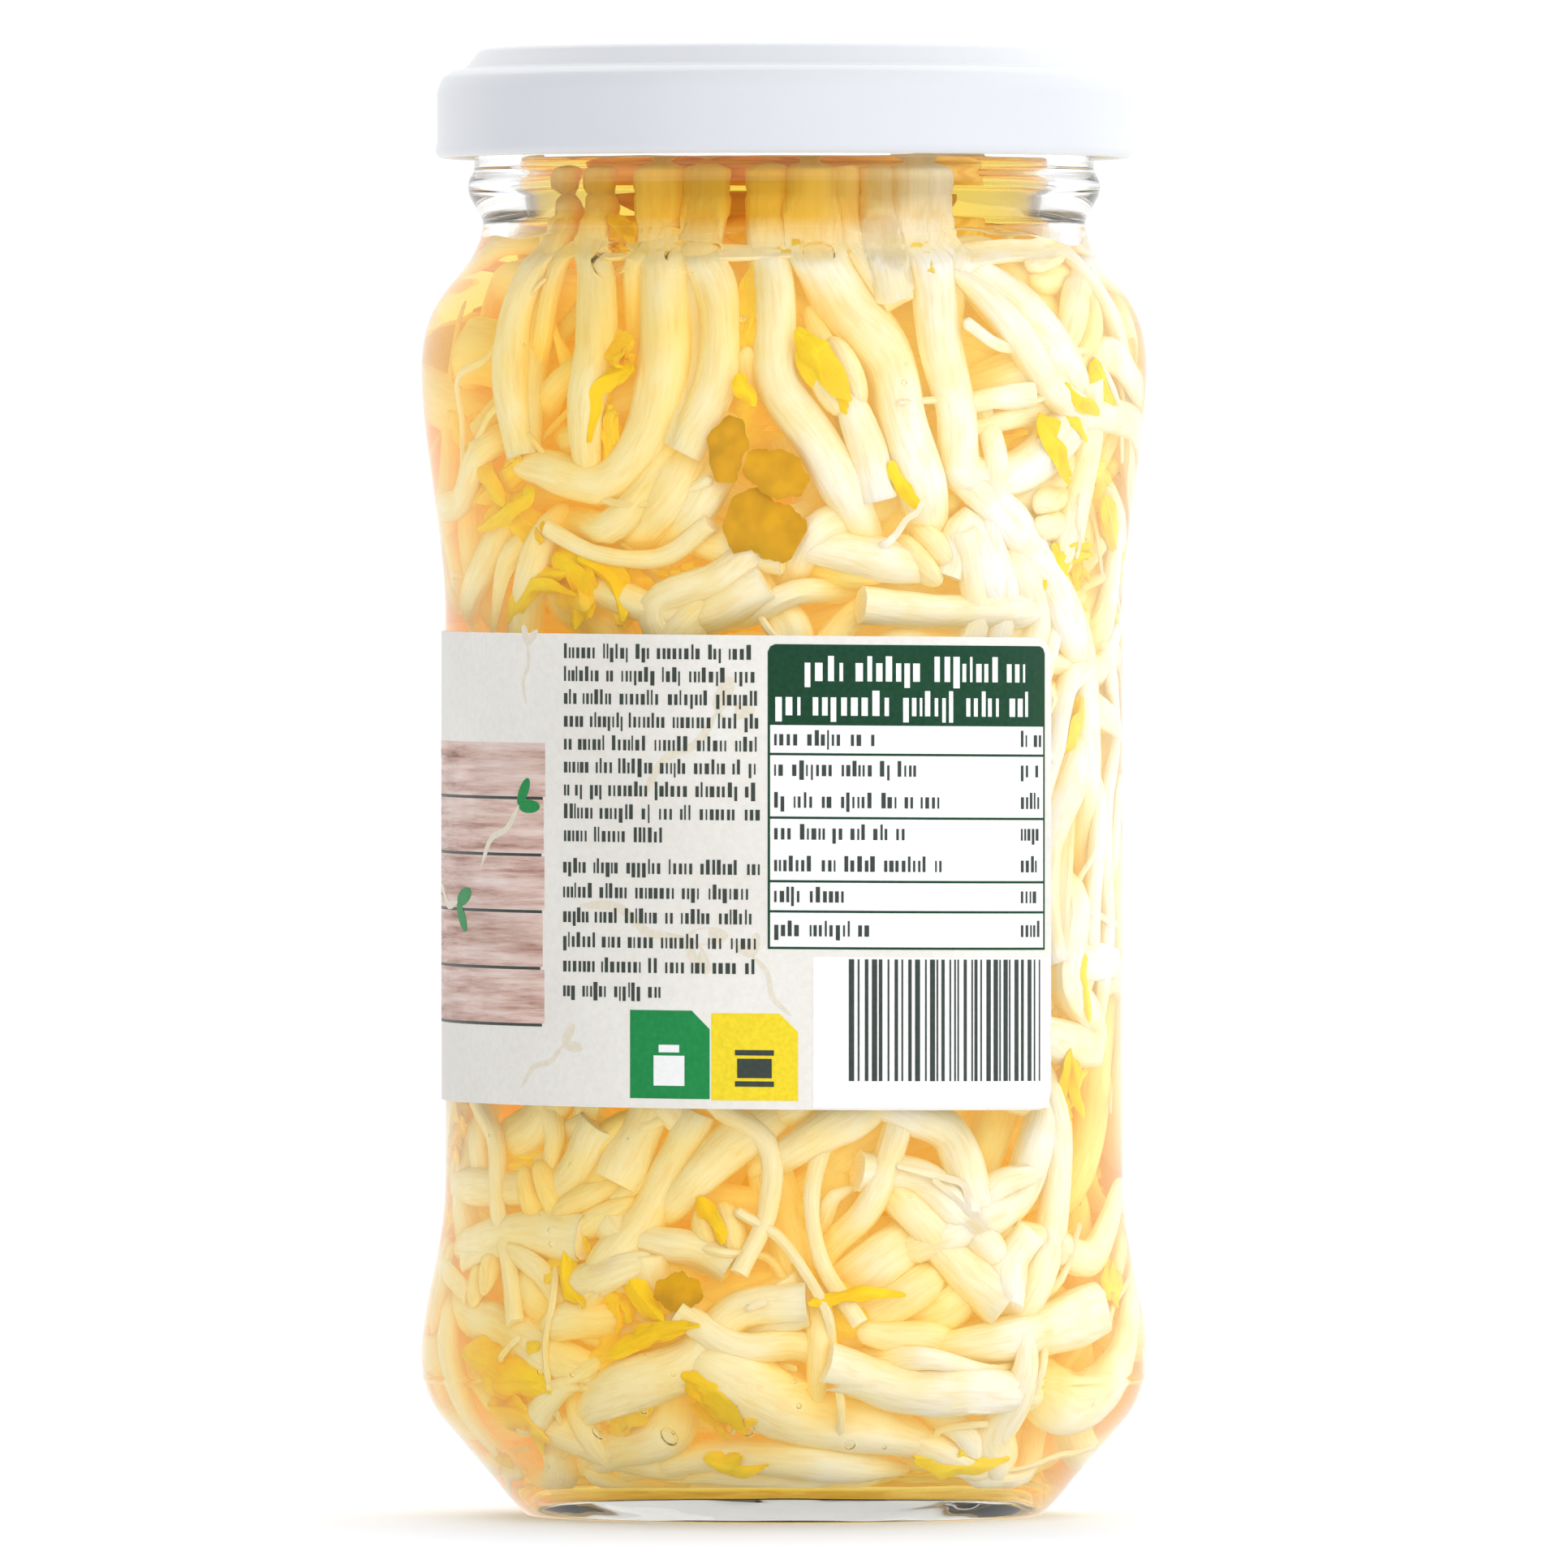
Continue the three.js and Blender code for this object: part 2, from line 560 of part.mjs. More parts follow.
// Pushes the strands apart until they only touch, keeps their lengths and bends, and keeps them in the ring.
function relax(strands) {
  const at = [];
  const half = [];
  const ease = [];
  const first = [];
  for (const strand of strands) {
    first.push(at.length);
    strand.points.forEach((p, i) => {
      at.push(p.clone());
      half.push(sectionAt(strand, i / (strand.points.length - 1))[0]);
      ease.push(strand.ease);
    });
  }
  const segments = [];
  const rods = [];
  strands.forEach((strand, s) => {
    const count = strand.points.length;
    for (let i = 0; i + 1 < count; i++) {
      const a = first[s] + i;
      segments.push({ a, b: a + 1, strand: s, index: i, bunch: strand.bunch });
      rods.push({ a, b: a + 1, rest: at[a].distanceTo(at[a + 1]), stiff: 1 });
      if (i + 2 < count) {
        rods.push({ a, b: a + 2, rest: at[a].distanceTo(at[a + 2]), stiff: 0.25 });
      }
    }
  });
  const ties = bunchTies(strands, first, at);
  const move = at.map(() => new THREE.Vector3());
  const share = new Float64Array(at.length);
  const push = new THREE.Vector3();
  const middle = new THREE.Vector3();
  let near = [];

  function shift(i, amount, weight) {
    move[i].addScaledVector(push, amount * weight * ease[i]);
    share[i] += weight;
  }
  for (let round = 0; round < ROUNDS; round++) {
    if (round % 12 === 0) near = nearSegments(segments, at, half, ties);
    move.forEach((m) => m.set(0, 0, 0));
    share.fill(0);
    for (const { a, b, rest, stiff } of [...rods, ...ties]) {
      push.subVectors(at[a], at[b]);
      const apart = push.length() || 1e-9;
      push.multiplyScalar(((rest - apart) / apart) * stiff / (ease[a] + ease[b]));
      shift(a, 1, 1);
      shift(b, -1, 1);
    }
    for (const { p, q, room } of near) {
      const [s, t, apart] = closest(at[p.a], at[p.b], at[q.a], at[q.b], push);
      const need = half[p.a] * (1 - s) + half[p.b] * s + half[q.a] * (1 - t) + half[q.b] * t + room;
      if (apart >= need) continue;
      const parts = [[p.a, 1 - s], [p.b, s], [q.a, t - 1], [q.b, -t]];
      const load = parts.reduce((sum, [i, w]) => sum + w * w * ease[i], 0);
      push.multiplyScalar((need - apart) / (Math.max(apart, 1e-9) * load));
      for (const [i, w] of parts) {
        move[i].addScaledVector(push, w * ease[i]);
        share[i] += Math.abs(w);
      }
    }
    at.forEach((p, i) => {
      p.addScaledVector(move[i], 1.2 / Math.max(1, share[i]));
      keepInRing(p, half[i]);
    });
    move.forEach((m) => m.set(0, 0, 0));
    for (const { a, b } of segments) {
      middle.addVectors(at[a], at[b]).multiplyScalar(0.5);
      push.copy(middle);
      keepInRing(middle, (half[a] + half[b]) / 2);
      push.subVectors(middle, push);
      move[a].add(push);
      move[b].add(push);
    }
    at.forEach((p, i) => p.addScaledVector(move[i], MIDDLE_SHARE));
  }
  strands.forEach((strand, s) => {
    strand.points = at.slice(first[s], first[s] + strand.points.length);
  });
  return { segments, at, half };
}

// Where the strands of a bunch grow together: the nearest points of each strand and the bunch's first one.
function bunchTies(strands, first, at) {
  const ties = [];
  strands.forEach((strand, s) => {
    const lead = strands.findIndex((other) => other.bunch === strand.bunch);
    if (lead === s) return;
    let best = { rest: Infinity };
    for (let i = 0; i < strands[lead].points.length; i++) {
      for (let k = 0; k < strand.points.length; k++) {
        const apart = at[first[lead] + i].distanceTo(at[first[s] + k]);
        if (apart < best.rest) best = { a: first[lead] + i, b: first[s] + k, rest: apart };
      }
    }
    ties.push({ a: best.a, b: best.b, rest: 0, stiff: 1 });
  });
  return ties;
}

// Pairs of segments near enough to meet, except neighbours on one strand and those at a tie.
function nearSegments(segments, at, half, ties) {
  const near = [];
  const tied = (p, q) =>
    ties.some(({ a, b }) => touches(p, a) && touches(q, b) || touches(p, b) && touches(q, a));
  for (let i = 0; i < segments.length; i++) {
    const p = segments[i];
    for (let k = i + 1; k < segments.length; k++) {
      const q = segments[k];
      if (p.strand === q.strand && q.index - p.index < 3) continue;
      const reach = STEP + 2.5 + Math.max(half[p.a], half[p.b]) + Math.max(half[q.a], half[q.b]);
      const dx = (at[p.a].x + at[p.b].x - at[q.a].x - at[q.b].x) / 2;
      const dy = (at[p.a].y + at[p.b].y - at[q.a].y - at[q.b].y) / 2;
      const dz = (at[p.a].z + at[p.b].z - at[q.a].z - at[q.b].z) / 2;
      if (dx * dx + dy * dy + dz * dz > reach * reach) continue;
      const same = p.bunch === q.bunch;
      if (same && p.strand !== q.strand && tied(p, q)) continue;
      near.push({ p, q, room: same ? 0 : GAP });
    }
  }
  return near;
}
const touches = (segment, point) => segment.a - 1 <= point && point <= segment.b + 1;

// The nearest places of segments ab and cd as shares of each, and the vector between them.
const ab = new THREE.Vector3();
const cd = new THREE.Vector3();
const ca = new THREE.Vector3();
function closest(a, b, c, d, push) {
  ab.subVectors(b, a);
  cd.subVectors(d, c);
  ca.subVectors(a, c);
  const aa = ab.dot(ab);
  const cc = cd.dot(cd);
  const ac = ab.dot(cd);
  const ap = ab.dot(ca);
  const cp = cd.dot(ca);
  const bottom = aa * cc - ac * ac;
  let s = bottom > 1e-9 ? THREE.MathUtils.clamp((ac * cp - cc * ap) / bottom, 0, 1) : 0.5;
  const t = THREE.MathUtils.clamp((ac * s + cp) / cc, 0, 1);
  s = THREE.MathUtils.clamp((ac * t - ap) / aa, 0, 1);
  push.copy(ca).addScaledVector(ab, s).addScaledVector(cd, -t);
  return [s, t, push.length()];
}

// Room for a round strand beside a wall that leans at this height.
function roomBeside(wall, height, half) {
  return (half + FIT) * Math.hypot(1, (wall(height + 1) - wall(height - 1)) / 2);
}

function keepInRing(p, half) {
  p.z = THREE.MathUtils.clamp(p.z, HOLE_FLOOR + FIT + half, TOP_OF_SPROUTS);
  const depth = Math.hypot(p.x, p.y) || 1e-9;
  const deepest = coreRadius(p.z) + roomBeside(coreRadius, p.z, half);
  const facet = holeRadius(p.z) * Math.cos(Math.PI / ROUND_STEPS);
  const kept = THREE.MathUtils.clamp(depth, deepest, facet - roomBeside(holeRadius, p.z, half));
  p.x *= kept / depth;
  p.y *= kept / depth;
}

// Thins strands of different bunches wherever they would still come nearer than the gap.
function thinWhereTight({ segments, at, half }) {
  const thin = new Float64Array(at.length).fill(1);
  const push = new THREE.Vector3();
  for (let pass = 0; pass < 6; pass++) {
    for (const { p, q } of nearSegments(segments, at, half, [])) {
      if (p.bunch === q.bunch) continue;
      const [s, t, apart] = closest(at[p.a], at[p.b], at[q.a], at[q.b], push);
      const mine = half[p.a] * thin[p.a] * (1 - s) + half[p.b] * thin[p.b] * s;
      const theirs = half[q.a] * thin[q.a] * (1 - t) + half[q.b] * thin[q.b] * t;
      const room = (apart - GAP / 2) / (mine + theirs);
      if (room >= 1) continue;
      for (const i of [p.a, p.b, q.a, q.b]) thin[i] *= Math.max(room, 0.5);
    }
  }
  return thin;
}

// A closed tube of the strand: a capped cylinder whose rings are moved to its points.
function strandSolid(strand, thin) {
  const { points } = strand;
  const steps = points.length - 1;
  const tube = new THREE.CylinderGeometry(1, 1, 1, SPROUT_SIDES, steps);
  const position = tube.attributes.position;
  const frames = points.map((p, i) => {
    const along = new THREE.Vector3().subVectors(points[Math.min(i + 1, steps)], points[Math.max(i - 1, 0)]);
    along.normalize();
    const out = new THREE.Vector3(p.x, p.y, 0).normalize();
    out.addScaledVector(along, -out.dot(along)).normalize();
    return [out, new THREE.Vector3().crossVectors(out, along)];
  });
  for (let k = 0; k < position.count; k++) {
    const i = Math.round((0.5 - position.getY(k)) * steps);
    const [out, side] = frames[i];
    const [width, thickness] = sectionAt(strand, i / steps);
    const moved = points[i].clone();
    moved.addScaledVector(side, position.getX(k) * width * thin[i]);
    moved.addScaledVector(out, position.getZ(k) * Math.max(thickness * thin[i], 0.32));
    position.setXYZ(k, moved.x, moved.y, moved.z);
  }
  return toSolid(tube);
}

// The bunches and hulls as solids, each bunch one body.
function sproutSolids() {
  const strands = allStrands();
  const settled = relax(strands);
  const thin = thinWhereTight(settled);
  const bunches = [];
  let used = 0;
  for (const strand of strands) {
    const solid = strandSolid(strand, thin.slice(used, used + strand.points.length));
    used += strand.points.length;
    const before = bunches[strand.bunch];
    bunches[strand.bunch] = before ? before.add(solid) : solid;
  }
  return bunches.map(mainBody);
}

// ---- Assembly ----

const twoDigits = (number) => String(number).padStart(2, "0");

const jar = new THREE.Group();
jar.add(named("glass_jar", toGeometry(glassJar()), glass));
jar.add(named("brine", toGeometry(brine()), liquid));
jar.add(named("paper_label", toGeometry(label()), paper));

const contents = new THREE.Group();
sproutSolids().forEach((solid, i) => {
  const isHull = i >= BUNCHES;
  const name = isHull ? `seed_hull_${i - BUNCHES + 1}` : `bean_sprouts_${twoDigits(i + 1)}`;
  contents.add(named(name, toGeometry(solid), isHull ? hullSkin : sproutFlesh));
});
jar.add(contents);

const closure = new THREE.Group();
closure.add(named("lid", toGeometry(lid()), whitePaint));
closure.add(named("lid_gasket", toGeometry(gasket()), sealing));

const group = new THREE.Group();
group.add(jar, closure);
export default group;
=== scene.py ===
"""A twist-off jar of pickled bean sprouts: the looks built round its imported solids.

Lengths in the tables are in millimetres, with +Z up, the front of the label facing -Y and azimuths in
degrees, 0 at the front and growing towards +X. Blender's own objects are in metres.
"""

import math

import bpy
import numpy as np
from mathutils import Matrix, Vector


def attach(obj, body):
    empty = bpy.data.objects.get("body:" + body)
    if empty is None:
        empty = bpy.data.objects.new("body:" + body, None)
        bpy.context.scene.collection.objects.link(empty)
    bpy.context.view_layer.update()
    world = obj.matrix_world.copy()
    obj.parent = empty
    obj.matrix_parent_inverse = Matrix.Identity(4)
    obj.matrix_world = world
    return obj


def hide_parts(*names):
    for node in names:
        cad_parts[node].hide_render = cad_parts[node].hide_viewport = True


bl_info = {
    "name": "Jar of bean sprouts",
    "version": (1, 0, 0),
    "blender": (4, 5, 0),
    "location": "View3D > Sidebar > Sprouts",
    "description": "Builds a glass jar of pickled bean sprouts with its lid, label and brine",
    "category": "Object",
}

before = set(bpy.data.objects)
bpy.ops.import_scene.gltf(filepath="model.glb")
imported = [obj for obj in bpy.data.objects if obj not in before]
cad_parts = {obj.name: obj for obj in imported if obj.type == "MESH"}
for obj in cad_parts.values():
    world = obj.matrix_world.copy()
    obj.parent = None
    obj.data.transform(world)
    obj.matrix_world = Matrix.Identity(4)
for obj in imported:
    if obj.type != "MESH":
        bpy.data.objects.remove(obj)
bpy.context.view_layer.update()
MM = 0.001

# ---- Sizes of the jar ----

WAIST_RADIUS = 31.85
BULGE_RADIUS = 34.1
NECK_RADIUS = 28.3
BEAD_RADIUS = 29.7
FINISH_RADIUS = 29.15
MOUTH_RADIUS = 25.9
RIM_HEIGHT = 134.2
RIM_ROUND = 0.8
WALL = 2.3
BULGE_INSIDE, WAIST_INSIDE = BULGE_RADIUS - WALL, WAIST_RADIUS - WALL
SPIN_STEPS = 128
WELD = 0.004

SEAM_HEIGHT, SEAM_SIZE, SEAM_WIDTH = 12.9, 0.12, 0.22

THREADS = 4
THREAD_DEPTH = 1.5
THREAD_THICKNESS = 1.5
THREAD_RISE = 2.2
THREAD_ARC = 68
LUG_ARC = 20
LUG_START = 54
LUG_HEIGHT = 1.1
LID_RADIUS = 32.6
LID_BOTTOM = 127.5
LID_TOP = 137.8
LID_SHEET = 0.4

LABEL_BOTTOM = 38.7
LABEL_HEIGHT = 44
LABEL_RIGHT = 50.7
LABEL_ARC = 296
LABEL_SLOPE = 0.008
LABEL_CORNER = 2
PAPER = 0.25

FILM = 0.6
FIT = 0.15
CORE_RADIUS = 21.5
CORE_NECK_RADIUS = 14
CORE_SHOULDER = 96
CORE_TAPER = 16
HOLE_FLOOR = 5.6
ROUND_STEPS = 32

# A corner below the first of these, in radians, or nearer the axis than the second, stays sharp.
STRAIGHT = 0.3
ON_AXIS = 0.01
CORNER_STEPS = 3

JAR_FLOOR = 4.4
JAR_CEILING = 117.5
AIR_LINE = 119.4
AIR_GAP = 1.0
OVERLAP = 0.07

# ---- Settings that a user would change ----


def colour(name, description, default):
    return bpy.props.FloatVectorProperty(
        name=name, description=description, subtype="COLOR", size=3, min=0, max=1, default=default
    )


def distance(name, description, millimetres):
    return bpy.props.FloatProperty(
        name=name, description=description, subtype="DISTANCE", unit="LENGTH", default=millimetres * MM
    )


class JarSettings(bpy.types.PropertyGroup):
    """Glass, lid and brine."""

    glass_tint: colour(
        "Glass tint", "Colour of light that has passed through the glass", (0.985, 0.995, 0.988)
    )
    lid_white: colour("Lid paint", "Colour of the painted tinplate", (0.7, 0.715, 0.745))
    brine_level: distance("Brine level", "Height of the brine above the base of the jar", 127.2)
    brine_colour: colour("Brine colour", "Colour that the brine lets through", (0.97, 0.85, 0.15))
    brine_depth: bpy.props.FloatProperty(
        name="Brine strength",
        description="How fast the brine takes up light, per metre",
        default=58.0,
    )


class SproutSettings(bpy.types.PropertyGroup):
    """Sprouts, leaves and hulls."""

    flesh: colour("Sprout flesh", "Colour of the stems", (0.985, 0.92, 0.88))
    leaf: colour("Leaf", "Colour of the young leaves", (0.97, 0.69, 0.015))
    hull: colour("Hull", "Colour of the seed hulls", (0.56, 0.28, 0.006))
    ring_spacing: distance("Ring spacing", "Distance between the rings of a stem's mesh", 0.75)
    stem_sides: bpy.props.IntProperty(
        name="Stem sides", description="Number of faces round a stem", min=6, max=32, default=16
    )
    inner_strands: bpy.props.IntProperty(
        name="Inner strands",
        description="Number of sprouts behind those at the glass",
        min=0,
        max=400,
        default=250,
    )


class StageSettings(bpy.types.PropertyGroup):
    """Floor, light and camera."""

    floor_white: bpy.props.FloatProperty(
        name="Floor white",
        description="How pale the floor is",
        subtype="FACTOR",
        min=0,
        max=1,
        default=0.9,
    )
    camera_distance: distance(
        "Camera distance", "Distance of the camera from the axis of the jar", 2500
    )
    camera_height: distance("Camera height", "Height of the camera above the floor", 86)
    aim_height: distance("Aim height", "Height on the jar's axis that the camera looks at", 68.7)
    picture_width: distance(
        "Picture width", "Width that the picture shows at the axis of the jar", 147.4
    )


# ---- Modelling helpers ----


def deselect_all():
    if bpy.context.mode != "OBJECT":
        bpy.ops.object.mode_set(mode="OBJECT")
    bpy.ops.object.select_all(action="DESELECT")


def pick(piece):
    """Makes a piece the one that the next operators act on."""
    deselect_all()
    piece.select_set(True)
    bpy.context.view_layer.objects.active = piece


def norms(vectors):
    return np.linalg.norm(vectors, axis=1)


def polar(radius, azimuth, height):
    """A point at a radius, an azimuth in degrees and a height."""
    turn = math.radians(azimuth)
    return (radius * math.sin(turn), -radius * math.cos(turn), height)


def rename(piece, name):
    piece.name = piece.data.name = name
    return piece


def new_piece(name, points, faces):
    """A piece made of points in millimetres and the faces between them."""
    mesh = bpy.data.meshes.new(name)
    mesh.from_pydata((np.asarray(points) * MM).tolist(), [], faces)
    piece = bpy.data.objects.new(name, mesh)
    bpy.context.scene.collection.objects.link(piece)
    return piece


def edit_all():
    """Edit mode with everything selected."""
    bpy.ops.object.mode_set(mode="EDIT")
    bpy.ops.mesh.select_all(action="SELECT")


def face_out():
    """Turns the faces of the active piece outwards."""
    edit_all()
    bpy.ops.mesh.normals_make_consistent(inside=False)
    bpy.ops.object.mode_set(mode="OBJECT")


def drawn_profile(name, profile):
    """A line of (radius, height) points, extruded vertex by vertex from a single one."""
    deselect_all()
    bpy.ops.mesh.primitive_plane_add(size=MM)
    piece = rename(bpy.context.object, name)
    edit_all()
    bpy.ops.mesh.merge(type="CENTER")
    radius, height = profile[0]
    bpy.ops.transform.translate(value=(radius * MM, 0, height * MM))
    for next_radius, next_height in profile[1:]:
        step = ((next_radius - radius) * MM, 0, (next_height - height) * MM)
        bpy.ops.mesh.extrude_region_move(TRANSFORM_OT_translate={"value": step})
        radius, height = next_radius, next_height
    return piece


def turned(name, profile, steps=SPIN_STEPS):
    """A profile spun about Z into a closed shell, from axis to axis or round a ring."""
    piece = drawn_profile(name, profile)
    bpy.ops.mesh.select_all(action="SELECT")
    bpy.ops.mesh.spin(steps=steps, angle=math.tau, center=(0, 0, 0), axis=(0, 0, 1))
    bpy.ops.mesh.select_all(action="SELECT")
    bpy.ops.mesh.remove_doubles(threshold=WELD * MM)
    bpy.ops.mesh.normals_make_consistent(inside=False)
    bpy.ops.object.mode_set(mode="OBJECT")
    return piece


def shaped_box(name, place, steps, up=1):
    """A cube, sliced and with each vertex moved by place(u, v, w), each from 0 to 1."""
    deselect_all()
    bpy.ops.mesh.primitive_cube_add(size=1, location=(0.5, 0.5, 0.5))
    piece = rename(bpy.context.object, name)
    bpy.ops.object.transform_apply(location=True)
    for axis, count in ((0, steps), (2, up)):
        for cut in range(1, count):
            edit_all()
            where, normal = [0.0, 0.0, 0.0], [0.0, 0.0, 0.0]
            where[axis], normal[axis] = cut / count, 1.0
            bpy.ops.mesh.bisect(plane_co=where, plane_no=normal)
            bpy.ops.object.mode_set(mode="OBJECT")
    for vertex in piece.data.vertices:
        vertex.co = Vector(place(*vertex.co)) * MM
    face_out()
    return piece


def unite(piece, others):
    """Unites other closed shells with a piece and removes them."""
    for other in others:
        pick(piece)
        union = piece.modifiers.new("union", "BOOLEAN")
        union.operation = "UNION"
        union.object = other
        union.solver = "EXACT"
        bpy.ops.object.modifier_apply(modifier=union.name)
        mesh = other.data
        bpy.data.objects.remove(other)
        bpy.data.meshes.remove(mesh)


def smooth(piece, angle):
    pick(piece)
    bpy.ops.object.shade_smooth_by_angle(angle=math.radians(angle))


def finish_piece(piece, material, body, slot, *nodes):
    """Gives a piece its material, its body and the nodes that it stands for; slot is not used."""
    if material is not None:
        piece.data.materials.clear()
        piece.data.materials.append(material)
    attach(piece, body)
    if nodes:
        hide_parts(*nodes)


# ---- Walls of the glass ----

OUTER_WALL = [
    ("move", (0, 1.4)),
    ("line", (22.4, 0)),
    ("line", (24.1, 0)),
    ("bend", (25.6, 1.2), (27.2, 3.4)),
    ("line", (31.6, 8.5)),
    ("bend", (BULGE_RADIUS, 11.2), (BULGE_RADIUS, 15)),
    ("curve", (BULGE_RADIUS, 20), (WAIST_RADIUS, 25), (WAIST_RADIUS, 32)),
    ("line", (WAIST_RADIUS, 84.5)),
    ("curve", (WAIST_RADIUS, 92), (BULGE_RADIUS, 101), (BULGE_RADIUS, 107.6)),
    ("curve", (BULGE_RADIUS, 112.2), (32.6, 114.2), (30.7, 116.4)),
    ("bend", (28.3, 119.2), (NECK_RADIUS, 121.6)),
    ("line", (BEAD_RADIUS, 124.2)),
    ("line", (BEAD_RADIUS, 125.4)),
    ("line", (FINISH_RADIUS, 126.2)),
    ("line", (FINISH_RADIUS, RIM_HEIGHT - RIM_ROUND)),
    ("line", (FINISH_RADIUS - RIM_ROUND, RIM_HEIGHT)),
]
INNER_WALL = [
    ("move", (MOUTH_RADIUS + RIM_ROUND, RIM_HEIGHT)),
    ("line", (MOUTH_RADIUS, RIM_HEIGHT - RIM_ROUND)),
    ("line", (MOUTH_RADIUS, 120.6)),
    ("curve", (MOUTH_RADIUS, 117), (31.9, 113.4), (BULGE_INSIDE, 107.4)),
    ("curve", (BULGE_INSIDE, 101), (WAIST_INSIDE, 92), (WAIST_INSIDE, 84.5)),
    ("line", (WAIST_INSIDE, 32)),
    ("curve", (WAIST_INSIDE, 25), (BULGE_INSIDE, 20), (BULGE_INSIDE, 15.4)),
    ("bend", (BULGE_INSIDE, 12.2), (29.6, 10)),
    ("line", (26.2, 6)),
    ("bend", (24.4, 4), (20.5, 3.7)),
    ("line", (0, 4)),
]


def wall_points(wall, curve_steps, bend_steps):
    """Points along a wall: lines, bends with one control point and curves with two."""
    steps = {"line": 1, "bend": bend_steps, "curve": curve_steps}
    points = [tuple(map(float, wall[0][1]))]
    for kind, *ends in wall[1:]:
        marks = [points[-1], *ends]
        for i in range(1, steps[kind] + 1):
            t, rest = i / steps[kind], marks
            while len(rest) > 1:
                pairs = zip(rest, rest[1:])
                rest = [tuple(p + (q - p) * t for p, q in zip(a, b)) for a, b in pairs]
            points.append(rest[0])
    return points


def rounded(points, size):
    """The same line with every sharp corner rounded by a small bend."""
    out = [points[0]]
    for before, at, after in zip(points, points[1:], points[2:]):
        a, b, c = (np.array(p) for p in (before, at, after))
        to_a, to_c = a - b, c - b
        near_a, near_c = np.linalg.norm(to_a), np.linalg.norm(to_c)
        bend = math.acos(np.clip(to_a @ to_c / (near_a * near_c), -1, 1))
        if math.pi - bend < STRAIGHT or b[0] < ON_AXIS:
            out.append(at)
            continue
        cut = min(size, near_a * 0.45, near_c * 0.45)
        start, end = b + to_a / near_a * cut, b + to_c / near_c * cut
        for i in range(CORNER_STEPS + 1):
            t = i / CORNER_STEPS
            out.append(tuple((1 - t) ** 2 * start + 2 * t * (1 - t) * b + t**2 * end))
    out.append(points[-1])
    return out


PLAIN_INNER = wall_points(INNER_WALL, 3, 2)[::-1]
FINE_INNER = wall_points(INNER_WALL, 14, 8)[::-1]


def glass_radius(height, points=PLAIN_INNER):
    """The inner radius of the glass at a height."""
    line = np.array(points[1:-1])
    return np.interp(height, line[:, 1], line[:, 0])


def wall_at(height):
    """The same, from the finer line that the glass itself is turned from."""
    return glass_radius(height, FINE_INNER)


def hole_radius(height):
    """The radius of the space for sprouts, inside the brine at the glass."""
    return glass_radius(height) - FIT - FILM


def core_radius(height):
    """The radius of the core of brine, which narrows towards the neck."""
    share = np.clip((height - CORE_SHOULDER) / CORE_TAPER, 0, 1)
    return CORE_RADIUS + (CORE_NECK_RADIUS - CORE_RADIUS) * share


# ---- Materials ----

PLAIN = (1.0, 1.0, 1.0)
GLASS_IOR, BRINE_IOR, FLESH_IOR, INK_IOR = 1.5, 1.34, 1.4, 1.45
AIR_IN_BRINE_IOR = 0.76
WET_MIRROR = 0.08


